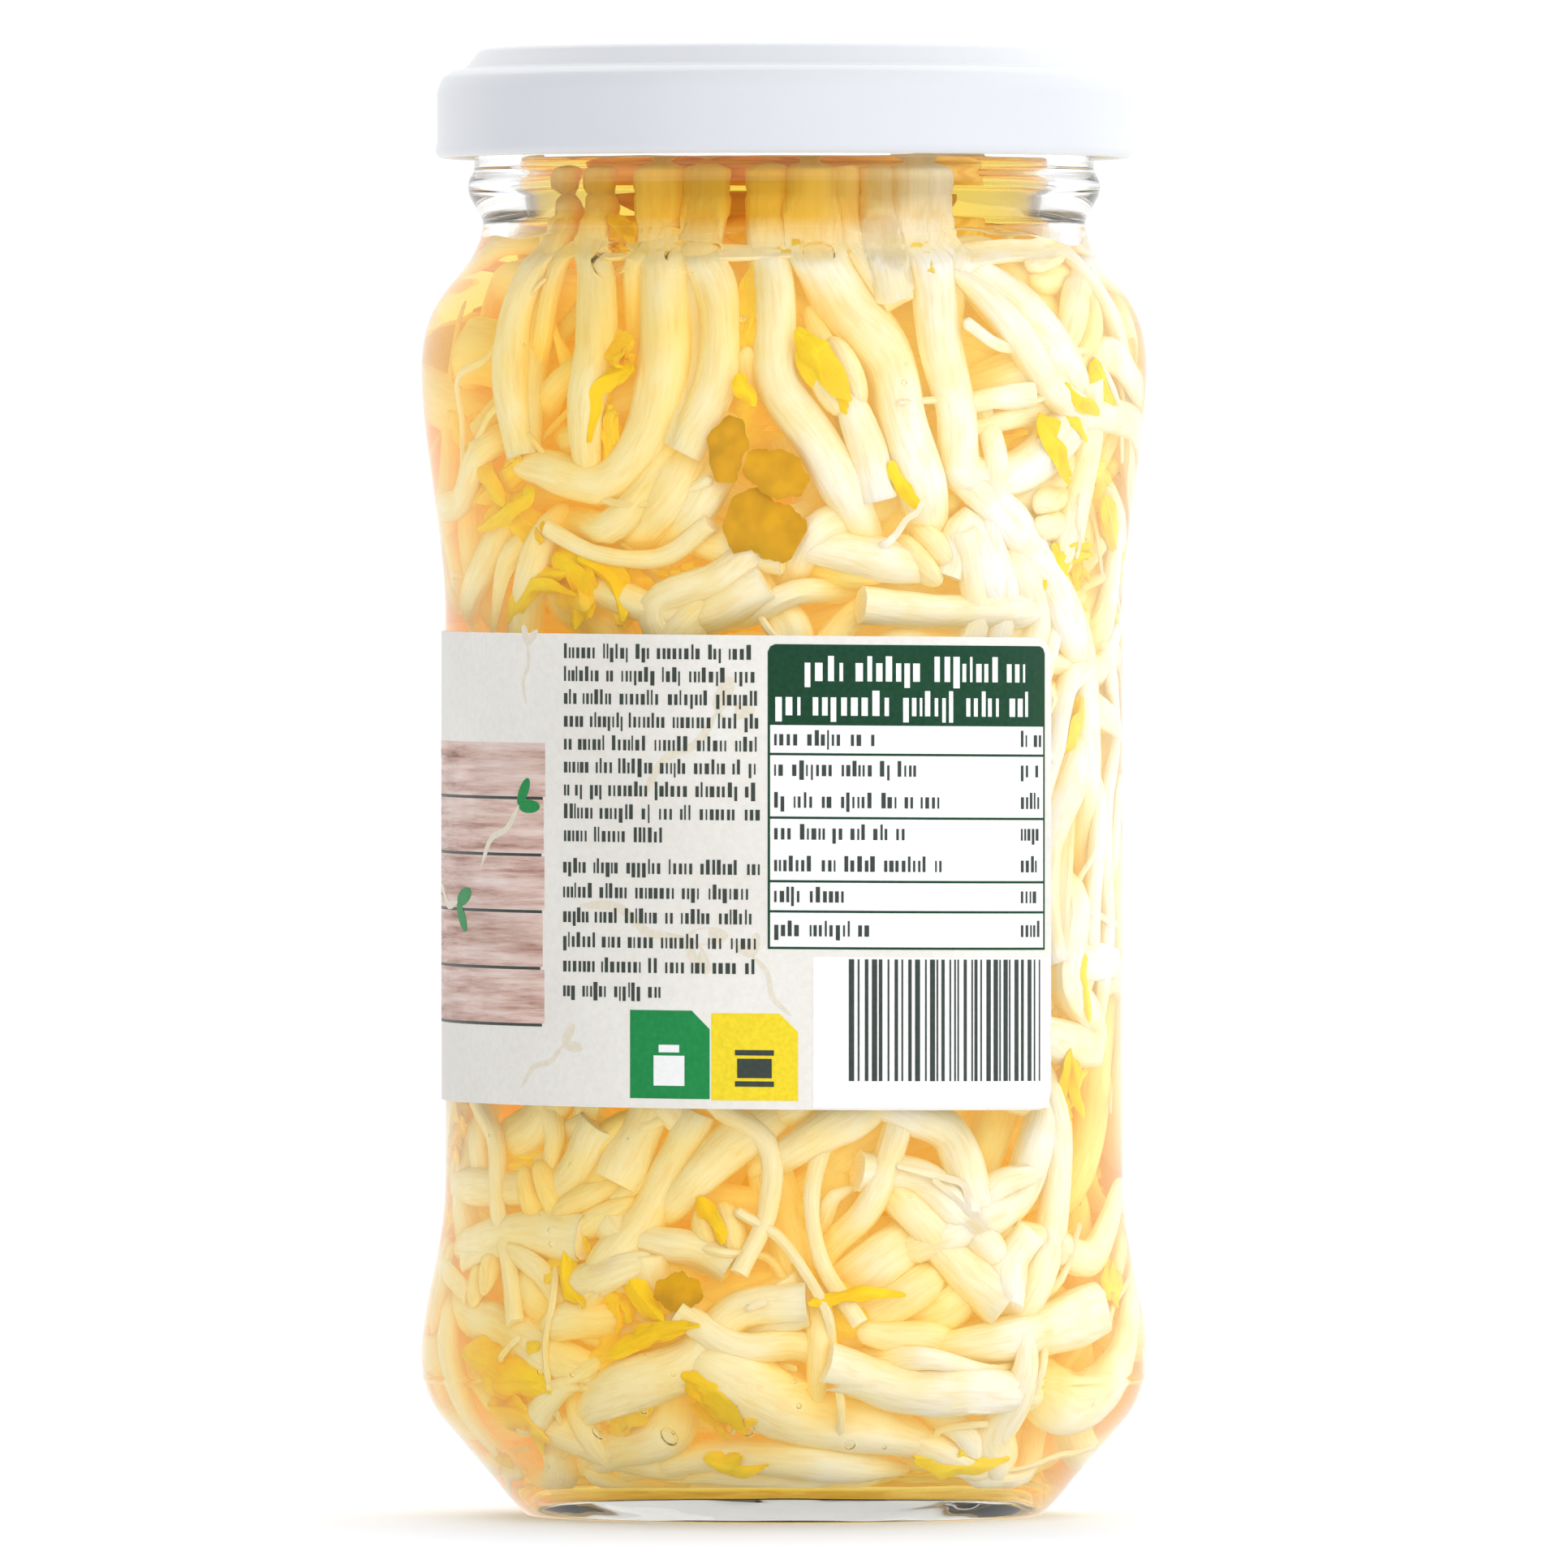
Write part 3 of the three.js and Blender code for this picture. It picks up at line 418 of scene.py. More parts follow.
class Nodes:
    """The shader nodes of a material or a world."""

    def __init__(self, owner):
        owner.use_nodes = True
        self.owner = owner
        self.tree = owner.node_tree
        self.tree.nodes.clear()

    def feed(self, socket, value):
        """Links an output to an input or sets the input's constant, a colour without its alpha."""
        if isinstance(value, bpy.types.NodeSocket):
            self.tree.links.new(value, socket)
        else:
            socket.default_value = (*value, 1) if socket.type == "RGBA" else value

    def add(self, kind, slots=(), **values):
        """A node, with its settings by name and its inputs as in_Name or as (index, value) slots."""
        made = self.tree.nodes.new(kind)
        for key, value in values.items():
            if key.startswith("in_"):
                self.feed(made.inputs[key[3:].replace("_", " ")], value)
            else:
                setattr(made, key, value)
        for index, value in slots:
            self.feed(made.inputs[index], value)
        return made

    def get(self, kind, output=0, slots=(), **values):
        """An output of a new node."""
        return self.add(kind, slots, **values).outputs[output]

    def place(self, kind="Object"):
        return self.get("ShaderNodeTexCoord", kind)

    def tone(self):
        """The parts of the tone at each vertex."""
        tone = self.get("ShaderNodeAttribute", "Color", attribute_name="tone")
        return self.add("ShaderNodeSeparateColor", in_Color=tone).outputs

    def noise(self, scale, detail, place=None, **more):
        """Noise over a place, by default the piece's own coordinates."""
        more["in_Vector"] = self.place() if place is None else place
        return self.get("ShaderNodeTexNoise", "Fac", in_Scale=scale, in_Detail=detail, **more)

    def bump(self, height, strength, depth):
        values = {"in_Height": height, "in_Strength": strength, "in_Distance": depth}
        return self.get("ShaderNodeBump", "Normal", **values)

    def math(self, operation, *values):
        return self.get("ShaderNodeMath", 0, enumerate(values), operation=operation)

    def spread(self, value, low, high, start=0.0, end=1.0, **more):
        """A value between start and end, carried over to between low and high."""
        ends = {"in_From_Min": start, "in_From_Max": end, "in_To_Min": low, "in_To_Max": high}
        return self.get("ShaderNodeMapRange", in_Value=value, **ends, **more)

    def mix(self, share, first, second, blend="MIX"):
        slots = ((0, share), (6, first), (7, second))
        return self.get("ShaderNodeMix", 2, slots, data_type="RGBA", blend_type=blend)

    def ramp(self, share, *stops):
        """A colour that follows a share through stops, each a place and a colour."""
        made = self.add("ShaderNodeValToRGB", in_Fac=share)
        while len(made.color_ramp.elements) < len(stops):
            made.color_ramp.elements.new(0.5)
        for element, (place, colour) in zip(made.color_ramp.elements, stops):
            element.position = place
            element.color = (*colour, 1)
        return made.outputs["Color"]

    def gilded(self, left, right, neck):
        """Painted light: a colour that turns across the jar, to the paler right one where light from the
        right washes over it, less so low down, with a third one left in the neck.
        """
        axes = self.add("ShaderNodeSeparateXYZ", in_Vector=self.place()).outputs

        def eased(axis, start, end, low, high):
            kind = "SMOOTHSTEP"
            return self.spread(axes[axis], low, high, start, end, interpolation_type=kind)

        to_left, in_neck = eased("X", 0.002, 0.014, 1.0, 0.3), eased("Z", 0.117, 0.1225, 0.0, 1.0)
        to_right, above = eased("X", -0.022, 0.024, 0.0, 1.0), eased("Z", 0.03, 0.06, 0.65, 1.0)
        low = self.mix(self.math("MULTIPLY", to_right, above), left, right)
        return self.mix(self.math("MULTIPLY", to_left, in_neck), low, neck)

    def finish(self, shader, kind="ShaderNodeOutputMaterial", **more):
        """Ends the tree in its output."""
        self.add(kind, in_Surface=shader, **more)
        return self.owner

    def coated(self, colour, **values):
        """Ends the tree in an opaque coat of a colour."""
        values["in_Base_Color"] = colour
        return self.finish(self.get("ShaderNodeBsdfPrincipled", **values))

    def clear_to_lamps(self, shader, tint, **more):
        """Ends the tree so that lamps and soft light pass straight through, without caustics."""
        rays = self.add("ShaderNodeLightPath").outputs
        either = self.math("MAXIMUM", rays["Is Shadow Ray"], rays["Is Diffuse Ray"])
        clear = self.get("ShaderNodeBsdfTransparent", in_Color=tint)
        mixed = self.get("ShaderNodeMixShader", 0, enumerate((either, shader, clear)))
        return self.finish(mixed, **more)

    def clear_shader(self, tint, ior, mirror, normal):
        return self.get(
            "ShaderNodeBsdfPrincipled",
            in_Base_Color=tint,
            in_Roughness=0.0,
            in_IOR=ior,
            in_Specular_Tint=(mirror, mirror, mirror),
            in_Transmission_Weight=1.0,
            in_Normal=normal,
        )


def new_material(name):
    """The nodes of a new material, whose faint glow isn't worth aiming light paths at."""
    material = bpy.data.materials.new(name)
    material.cycles.emission_sampling = "NONE"
    return Nodes(material)


def shade(colour, *factors):
    """A colour times one factor for all its parts, or one for each, and no brighter than white."""
    factors = factors * 3 if len(factors) == 1 else factors
    return tuple(min(1, c * k) for c, k in zip(colour, factors))


def mottled_material(name, scale, detail, dark, light, **values):
    """A plain coat that drifts between two colours, each a place on the noise and a colour."""
    nodes = new_material(name)
    return nodes.coated(nodes.ramp(nodes.noise(scale, detail), dark, light), **values)


def glass_material(settings, name="jar_glass", mirror=1.0):
    """Clear glass; a wet wall mirrors little, because brine bends light nearly as glass does."""
    nodes = new_material(name)
    ripple = nodes.bump(nodes.noise(70.0, 1.5), 0.06, 0.002)
    shader = nodes.clear_shader(settings.glass_tint, GLASS_IOR, mirror, ripple)
    return nodes.clear_to_lamps(shader, settings.glass_tint)


def brine_material(settings):
    nodes = new_material("brine")
    ripple = nodes.bump(nodes.noise(45.0, 1.0), 0.05, 0.002)
    shader = nodes.clear_shader((1.0, 0.995, 0.98), BRINE_IOR, WET_MIRROR, ripple)
    depth = nodes.get(
        "ShaderNodeVolumeAbsorption", in_Color=settings.brine_colour, in_Density=settings.brine_depth
    )
    return nodes.clear_to_lamps(shader, PLAIN, in_Volume=depth)


def bubble_material():
    """Air trapped in the brine: light crosses from brine into air."""
    nodes = new_material("trapped_air")
    ripple = nodes.bump(nodes.noise(260.0, 1.0), 0.05, 0.001)
    values = {"in_Roughness": 0.0, "in_IOR": AIR_IN_BRINE_IOR, "in_Normal": ripple}
    return nodes.clear_to_lamps(nodes.get("ShaderNodeBsdfGlass", **values), PLAIN)


def cloud_material():
    """The deep of the brine, cloudy, with a painted glow that stands for light from all round, so that
    it glows between the sprouts.
    """
    nodes = new_material("cloudy_brine")
    swirl = nodes.noise(95.0, 4.0, in_Distortion=2.2)
    tints = (0.3, (0.58, 0.36, 0.04)), (0.5, (0.8, 0.56, 0.16)), (0.7, (0.92, 0.76, 0.4))
    tint = nodes.ramp(swirl, *tints)
    # Painted light: paler on the right, where the light washes over the jar, and more amber on the left;
    # deeper amber in the neck.
    gold = nodes.gilded((0.95, 0.86, 0.38), (1.0, 1.0, 0.95), (0.78, 0.42, 0.02))
    steeped = nodes.mix(1.0, tint, gold, "MULTIPLY")
    return nodes.coated(
        steeped,
        in_Roughness=0.9,
        in_Specular_IOR_Level=0.0,
        # Painted glow: the core emits its own colour, though it is no lamp.
        in_Emission_Color=steeped,
        in_Emission_Strength=0.45,
    )


def lid_material(settings):
    """Glossy paint with a fine orange peel."""
    nodes = new_material("white_lid_paint")
    cloud = nodes.noise(90.0, 3.0)
    tint = nodes.ramp(cloud, (0.2, shade(settings.lid_white, 0.995)), (0.8, settings.lid_white))
    return nodes.coated(
        tint,
        in_Roughness=nodes.spread(cloud, 0.27, 0.33),
        in_IOR=GLASS_IOR,
        in_Coat_Weight=0.5,
        in_Coat_Roughness=0.08,
        in_Normal=nodes.bump(nodes.noise(1500.0, 1.0), 0.05, 0.0002),
    )


def liner_material():
    dark, light = (0.35, (0.66, 0.63, 0.55)), (0.65, (0.74, 0.71, 0.63))
    return mottled_material("lid_liner", 300.0, 4.0, dark, light, in_Roughness=0.55, in_IOR=INK_IOR)


def flesh_material(settings):
    """Stems, cotyledons and leaves: tone says how leafy, how deep in the jar, which paints shade and a
    glow, and how browned.
    """
    nodes = new_material("sprout_flesh")
    flesh, leaf = settings.flesh, settings.leaf
    tone = nodes.tone()
    grain = nodes.get("ShaderNodeAttribute", "Vector", attribute_name="grain")
    fibre = nodes.noise(2.6, 3.0, grain, in_Roughness=0.6)
    cloud = nodes.noise(210.0, 2.0)
    stem = nodes.ramp(cloud, (0.3, shade(flesh, 0.985, 0.93, 0.74)), (0.6, shade(flesh, 1.0, 1.02, 1.1)))
    blade = nodes.ramp(cloud, (0.3, shade(leaf, 1.0, 0.86, 0.5)), (0.62, shade(leaf, 1.04, 1.08, 1.3)))
    # Painted shade: the flesh turns amber the further in from the glass it lies.
    soaked = nodes.mix(tone["Green"], stem, (0.96, 0.8, 0.32), "MULTIPLY")
    browned = nodes.mix(tone["Blue"], nodes.mix(tone["Red"], soaked, blade), (0.45, 0.24, 0.03))
    lines = nodes.ramp(fibre, (0.34, (0.92, 0.8, 0.56)), (0.52, PLAIN))
    streaked = nodes.mix(0.5, browned, lines, "MULTIPLY")
    # Painted light: paler on the right, where the light washes over the jar, and more amber on the left;
    # deeper amber in the neck.
    gold = nodes.gilded((0.99, 0.86, 0.48), PLAIN, (0.95, 0.6, 0.08))
    return nodes.coated(
        nodes.mix(1.0, streaked, gold, "MULTIPLY"),
        in_Roughness=0.35,
        in_IOR=FLESH_IOR,
        in_Specular_IOR_Level=0.1,
        in_Subsurface_Weight=0.3,
        in_Subsurface_Radius=(1.0, 0.9, 0.75),
        in_Subsurface_Scale=nodes.spread(tone["Red"], 0.0008, 0.0002),
        # Painted glow: a warm emission, stronger further in from the glass and paler on the right,
        # stands for light that wanders through the brine and flesh.
        in_Emission_Color=nodes.gilded((1.0, 0.75, 0.18), (1.0, 0.87, 0.5), (0.9, 0.45, 0.01)),
        in_Emission_Strength=nodes.spread(tone["Green"], 0.05, 0.22),
        in_Normal=nodes.bump(fibre, 0.25, 0.0004),
    )


def hull_material(settings):
    """Seed skin, darker towards its edge, with a painted glow that lifts it out of its shade."""
    nodes = new_material("seed_hull")
    tone = nodes.tone()
    cloud = nodes.noise(420.0, 4.0)
    skin = nodes.ramp(cloud, (0.3, shade(settings.hull, 0.84)), (0.65, shade(settings.hull, 1.16)))
    edged = nodes.mix(tone["Blue"], skin, (0.2, 0.09, 0.005))
    return nodes.coated(
        edged,
        in_Roughness=0.4,
        in_IOR=FLESH_IOR,
        in_Specular_IOR_Level=0.3,
        in_Subsurface_Weight=0.2,
        in_Subsurface_Scale=0.001,
        in_Subsurface_Radius=(1.0, 0.7, 0.2),
        # Painted glow: the skin emits its own colour, though it is no lamp.
        in_Emission_Color=edged,
        in_Emission_Strength=0.2,
        in_Normal=nodes.bump(cloud, 0.3, 0.0003),
    )


# ---- Where the sprouts lie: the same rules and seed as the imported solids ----

STEP = 6.3
GAP = 0.3
TINY = 1e-9
ROUNDS = 420
MIDDLE_SHARE = 0.75
SEED = 7
COMPANION_LENGTH = (36, 56)
COMPANION_RADIUS = (1.9, 2.5)
ROOT_LENGTH = 16
HEAD_LENGTH = 9
TOP_OF_SPROUTS = 125.2
TOP_OF_COMPANIONS = 114
TURN_DOWN, TURN_UP, TURN_BACK = 108, 14, 0.35
TRIES = 12
NECK_START = 112.5
NEAR_MOUTH, AT_MOUTH = 23.4, 22.6
ROOMY = 7
# Where the hidden bunches are: from and to azimuth, bottom, top, bunches and companions of each.
HIDDEN_ZONES = [(100, 262, 9, 113, 7, 4), (-88, 45, 44, 80, 3, 3)]


def cell(text):
    """A word, a number or a mark of two numbers."""
    if text.isalpha():
        return text
    numbers = tuple(map(float, text.split(",")))
    return numbers if len(numbers) > 1 else numbers[0]


def table(text):
    """The rows of a table, one to a line, each a list of items with a semicolon between them."""
    rows = text.strip().splitlines()
    return [[[cell(part) for part in item.split()] for item in row.split(";")] for row in rows]


# Strands at the glass, a bunch to a line: kind, radius and marks, each an offset to the right as seen
# from the front and a height.
SEEN_BUNCHES = table("""
stem 2.3 -13,120 -12.5,109 -15.5,97 -23.5,97; leaf 1.6 -19,100 -18,107
stem 2 -9.5,117.5 -8,111.5 -7,105.5 -8.5,99
stem 2.1 -1,123 0,116 1.5,105.5 6.5,95.5
stem 2.5 2.5,117.5 7.5,113.5 11,107.5 12.5,101.5 14,97
stem 2.2 14,115 17,107 18.5,97 23,97 28,101; stem 1 18,106 25,105
stem 1.9 13,122 10.5,112; stem 1.7 7,125 6.5,119 9,112.5
stem 2.5 16.5,118 23,113 29,107.5
stem 1.6 8,104.5 9.5,95.5; bean 2.2 3,110 6,104
stem 2 -20.5,119 -20.5,110 -20,104; leaf 1.5 -18.5,108 -14,108.5
stem 1.8 -26.5,113.5 -27.5,105 -26,99; leaf 1.5 -27,101 -30.5,95
stem 0.9 -24,92 -16.5,90.8 -7.5,95; leaf 1.6 -30,94 -24,92
stem 1.8 -15,87.5 -6,85.5 2,87; leaf 2 -16,90 -16.5,84
stem 2.2 -27,89.5 -28,78; leaf 2.2 -22,91 -20.5,84
stem 1.7 18,88 18.5,92.5 21,92.5 22,87; bean 2.2 13,93 16,88
stem 2.2 22,95 25,90.5 28,84
stem 1.9 30,107 30.5,99.5 28,92; leaf 1.4 29,92 30.5,87
stem 1.9 3.5,91 10,90
stem 2 -12,90 -5,92 0,93
stem 1.8 9,85 17,84 24,83
stem 2.1 -30.5,31 -22,31.5 -17.5,37
stem 2.2 -18.5,31 -12,39
stem 1.9 -19.5,23 -14,29 -9,38; leaf 1.3 -19.5,23 -16,18
stem 1.9 -9,33 -2,34.5
stem 2.1 -30.5,25.5 -26,26.5 -20,26; leaf 1.3 -21,26 -22,20
stem 1.8 -13,26 -6,26.5; bean 2.3 -6,32 -5,25.5
stem 1.9 -3,33.5 -1,28 1,22.5
stem 0.8 1,37 3.5,32 5,26 9,19; stem 2.2 4.5,35.5 13.5,37.5
stem 2 14.5,36.5 18,34 19,28
stem 2.1 24,38 23,32.5 19.5,27; stem 2.1 7,29.5 13,29 19.5,26.5
stem 2.1 8.5,25 13,24 20,22; stem 1.9 20,22 25,27
stem 1.7 27,37 27,29 25,21; leaf 1.4 27,37 30,42
stem 2.3 22,17 27,18 31.5,19
stem 2.1 -15.5,11 -10,15 -4,19 2,20.5; leaf 1.4 -9,13 -4,9
stem 2.3 -31.5,18.5 -24,18; leaf 1.6 -30,13.5 -23.5,13
stem 2 5,17.5 13,15.5 20,13
stem 2.8 -4.5,14 3,10.5 11,9.5; stem 1.7 11,9.5 20,8
stem 2.2 -24,9.5 -17,9.5; stem 2 -12,6.5 -3,6 5,6.2
stem 2.4 25,14 22.5,10 22,7
stem 2 28.5,70 27,62 27.5,52; leaf 1.4 28.5,70 30,77
stem 1.9 25,45 31,44
stem 1.9 26,80 31,75
stem 1.4 31,66 30.5,52
""")
SEEN_HULLS = table("""
hull 1.9 -6,102 -4.5,96
hull 2.4 -6,97 1.5,97.5
hull 2 -12,22 -6.5,21.5
""")
TORN_HULL = 1
BUNCHES = len(SEEN_BUNCHES) + sum(zone[4] for zone in HIDDEN_ZONES)


def random_stream(seed):
    """A seeded stream of numbers from 0 to 1."""
    mask = 0xFFFFFFFF
    state = seed
    while True:
        state = (state + 0x6D2B79F5) & mask
        mixed = ((state ^ (state >> 15)) * (1 | state)) & mask
        mixed = ((mixed + (((mixed ^ (mixed >> 7)) * (61 | mixed)) & mask)) & mask) ^ mixed
        yield (mixed ^ (mixed >> 14)) / 4294967296


def running(line):
    """How far along a line each of its points is."""
    return np.concatenate([[0], np.cumsum(norms(np.diff(line, axis=0)))])


def reach_of(line):
    return np.sum(norms(np.diff(line, axis=0)))


def spaced_curve(marks, count=None):
    """Evenly spaced points on a centripetal curve through the marks, and its length."""
    marks = np.array(marks, float)
    ends = np.vstack([2 * marks[0] - marks[1], marks, 2 * marks[-1] - marks[-2]])
    spans = len(marks) - 1

    def at(shares):
        place = np.asarray(shares) * spans
        first = np.minimum(place.astype(int), spans - 1)
        w = (place - first)[:, None]
        p0, p1, p2, p3 = (ends[first + k] for k in range(4))
        d0, d1, d2 = (
            np.sum((a - b) ** 2, axis=1)[:, None] ** 0.25 for a, b in ((p0, p1), (p1, p2), (p2, p3))
        )
        t1 = ((p1 - p0) / d0 - (p2 - p0) / (d0 + d1) + (p2 - p1) / d1) * d1
        t2 = ((p2 - p1) / d1 - (p3 - p1) / (d1 + d2) + (p3 - p2) / d2) * d1
        c2 = -3 * p1 + 3 * p2 - 2 * t1 - t2
        c3 = 2 * p1 - 2 * p2 + t1 + t2
        return p1 + t1 * w + c2 * w**2 + c3 * w**3

    line = at(np.linspace(0, 1, 201))
    lengths = running(line)
    length = lengths[-1]
    steps = count or max(2, math.floor(length / STEP + 0.5))
    places = np.interp(np.arange(steps + 1) / steps * length, lengths, np.linspace(0, 1, 201))
    return at(places), length


def strand_of(bunch, kind, radius, points, length, head=None, ease=1.0):
    """A strand; ease is how freely its points move when the strands settle."""
    return {
        "bunch": bunch,
        "kind": kind,
        "head": head,
        "radius": radius,
        "length": length,
        "points": points,
        "ease": ease,
    }


def seen_azimuth(right, outside):
    """The azimuth, in radians, of a place seen from the front through the glass."""
    return math.asin(max(-0.98, min(0.98, right / outside)))


def seen_strand(item, bunch):
    """A strand at the glass, through its marks."""
    kind, radius, *marks = item
    places = []
    for right, height in marks:
        reach = hole_radius(height) - radius
        azimuth = seen_azimuth(right, hole_radius(height) + WALL + 1)
        places.append((reach * math.sin(azimuth), -reach * math.cos(azimuth), height))
    return strand_of(bunch, kind, radius, *spaced_curve(places), ease=0.15)


def between(draw, low, high):
    return low + (high - low) * next(draw)


def companion(draw, bunch, root, deep=None):
    """A loose strand that sets out from a root and wanders round the ring, or through the core."""
    radius = between(draw, *COMPANION_RADIUS)
    reach = between(draw, *COMPANION_LENGTH)
    steps = math.floor(reach / STEP + 0.5)
    away = -1 if next(draw) < 0.5 else 1
    climb = (next(draw) - 0.5) * 2.4
    depth = math.hypot(root[0], root[1])
    azimuth = math.atan2(root[0], -root[1])
    height = root[2]
    points = [tuple(root)]
    for _ in range(steps):
        climb += (next(draw) - 0.5) * 0.9
        if height > TURN_DOWN:
            climb -= TURN_BACK
        if height < TURN_UP:
            climb += TURN_BACK
        depth += (next(draw) - 0.62) * 2.4
        inside = deep if deep is not None else core_radius(height) + radius
        depth = min(max(depth, inside), hole_radius(height) - radius)
        azimuth += (away * math.cos(climb) * STEP) / max(depth, 5)
        height = min(max(height + math.sin(climb) * STEP, HOLE_FLOOR + 3), TOP_OF_COMPANIONS)
        points.append((depth * math.sin(azimuth), -depth * math.cos(azimuth), height))
    chance = next(draw)
    head = "leaf" if chance < 0.3 else "bean" if chance < 0.5 else None
    kind = "rooted" if next(draw) < 0.7 else "stem"
    return strand_of(bunch, kind, radius, np.array(points), steps * STEP, head)


def roomiest(draw, bunch, roots, placed, deep=None):
    """The roomiest of a few tries at a strand that sets out from one of the given roots."""
    best, most = None, -1
    for _ in range(TRIES):
        root = roots[int(next(draw) * len(roots))]
        strand = companion(draw, bunch, root, deep)
        away = np.sum((strand["points"][1:, None] - placed[None]) ** 2, axis=2).min(axis=1)
        room = np.sqrt(np.minimum(away, ROOMY**2)).sum() / len(strand["points"])
        if room > most:
            best, most = strand, room
    return best


def all_strands():
    """The strands at the glass, then the hidden ones that are drawn by chance."""
    draw = random_stream(SEED)
    seen = [[seen_strand(item, i) for item in row] for i, row in enumerate(SEEN_BUNCHES)]
    hulls = [seen_strand(item, BUNCHES + i) for i, (item,) in enumerate(SEEN_HULLS)]
    strands = [strand for row in seen for strand in row] + hulls

    def placed():
        return np.concatenate([strand["points"] for strand in strands])

    bunch = len(SEEN_BUNCHES)
    for start, end, low, high, bunches, companions in HIDDEN_ZONES:
        for i in range(bunches):
            turn = start + (end - start) * ((0.3 + i * 0.618) % 1)
            height = low + ((i + 0.5) / bunches) * (high - low)
            root = polar(hole_radius(height) - 2, turn, height)
            lead = roomiest(draw, bunch, [root], placed())
            strands.append(lead)
            for _ in range(companions):
                strands.append(roomiest(draw, bunch, lead["points"], placed()))
            bunch += 1
    for i, row in enumerate(seen):
        if i % 5 < 2:
            strands.append(roomiest(draw, i, row[0]["points"], placed()))
    return strands


def half_width(strand, share):
    """Half the width of a strand at a share of its length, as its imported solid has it."""
    kind, radius, length = strand["kind"], strand["radius"], strand["length"]
    if kind in ("leaf", "hull"):
        return radius * math.sin(math.pi * (0.12 + 0.76 * share)) ** 0.7
    if kind == "bean":
        return radius * math.sin(math.pi * (0.14 + 0.72 * share)) ** 0.6
    along = share * length
    left = length - along
    if kind == "rooted" and left < ROOT_LENGTH:
        return 0.42 + (radius - 0.42) * max(0, left / ROOT_LENGTH - 0.35) / 0.65
    if strand["head"] and along < HEAD_LENGTH:
        wide = 2.3 if strand["head"] == "leaf" else 2.4
        return wide * math.sin(math.pi * (0.16 + 0.7 * along / HEAD_LENGTH)) ** 0.7
    return radius * min(1, 0.6 + 0.25 * min(along, left))


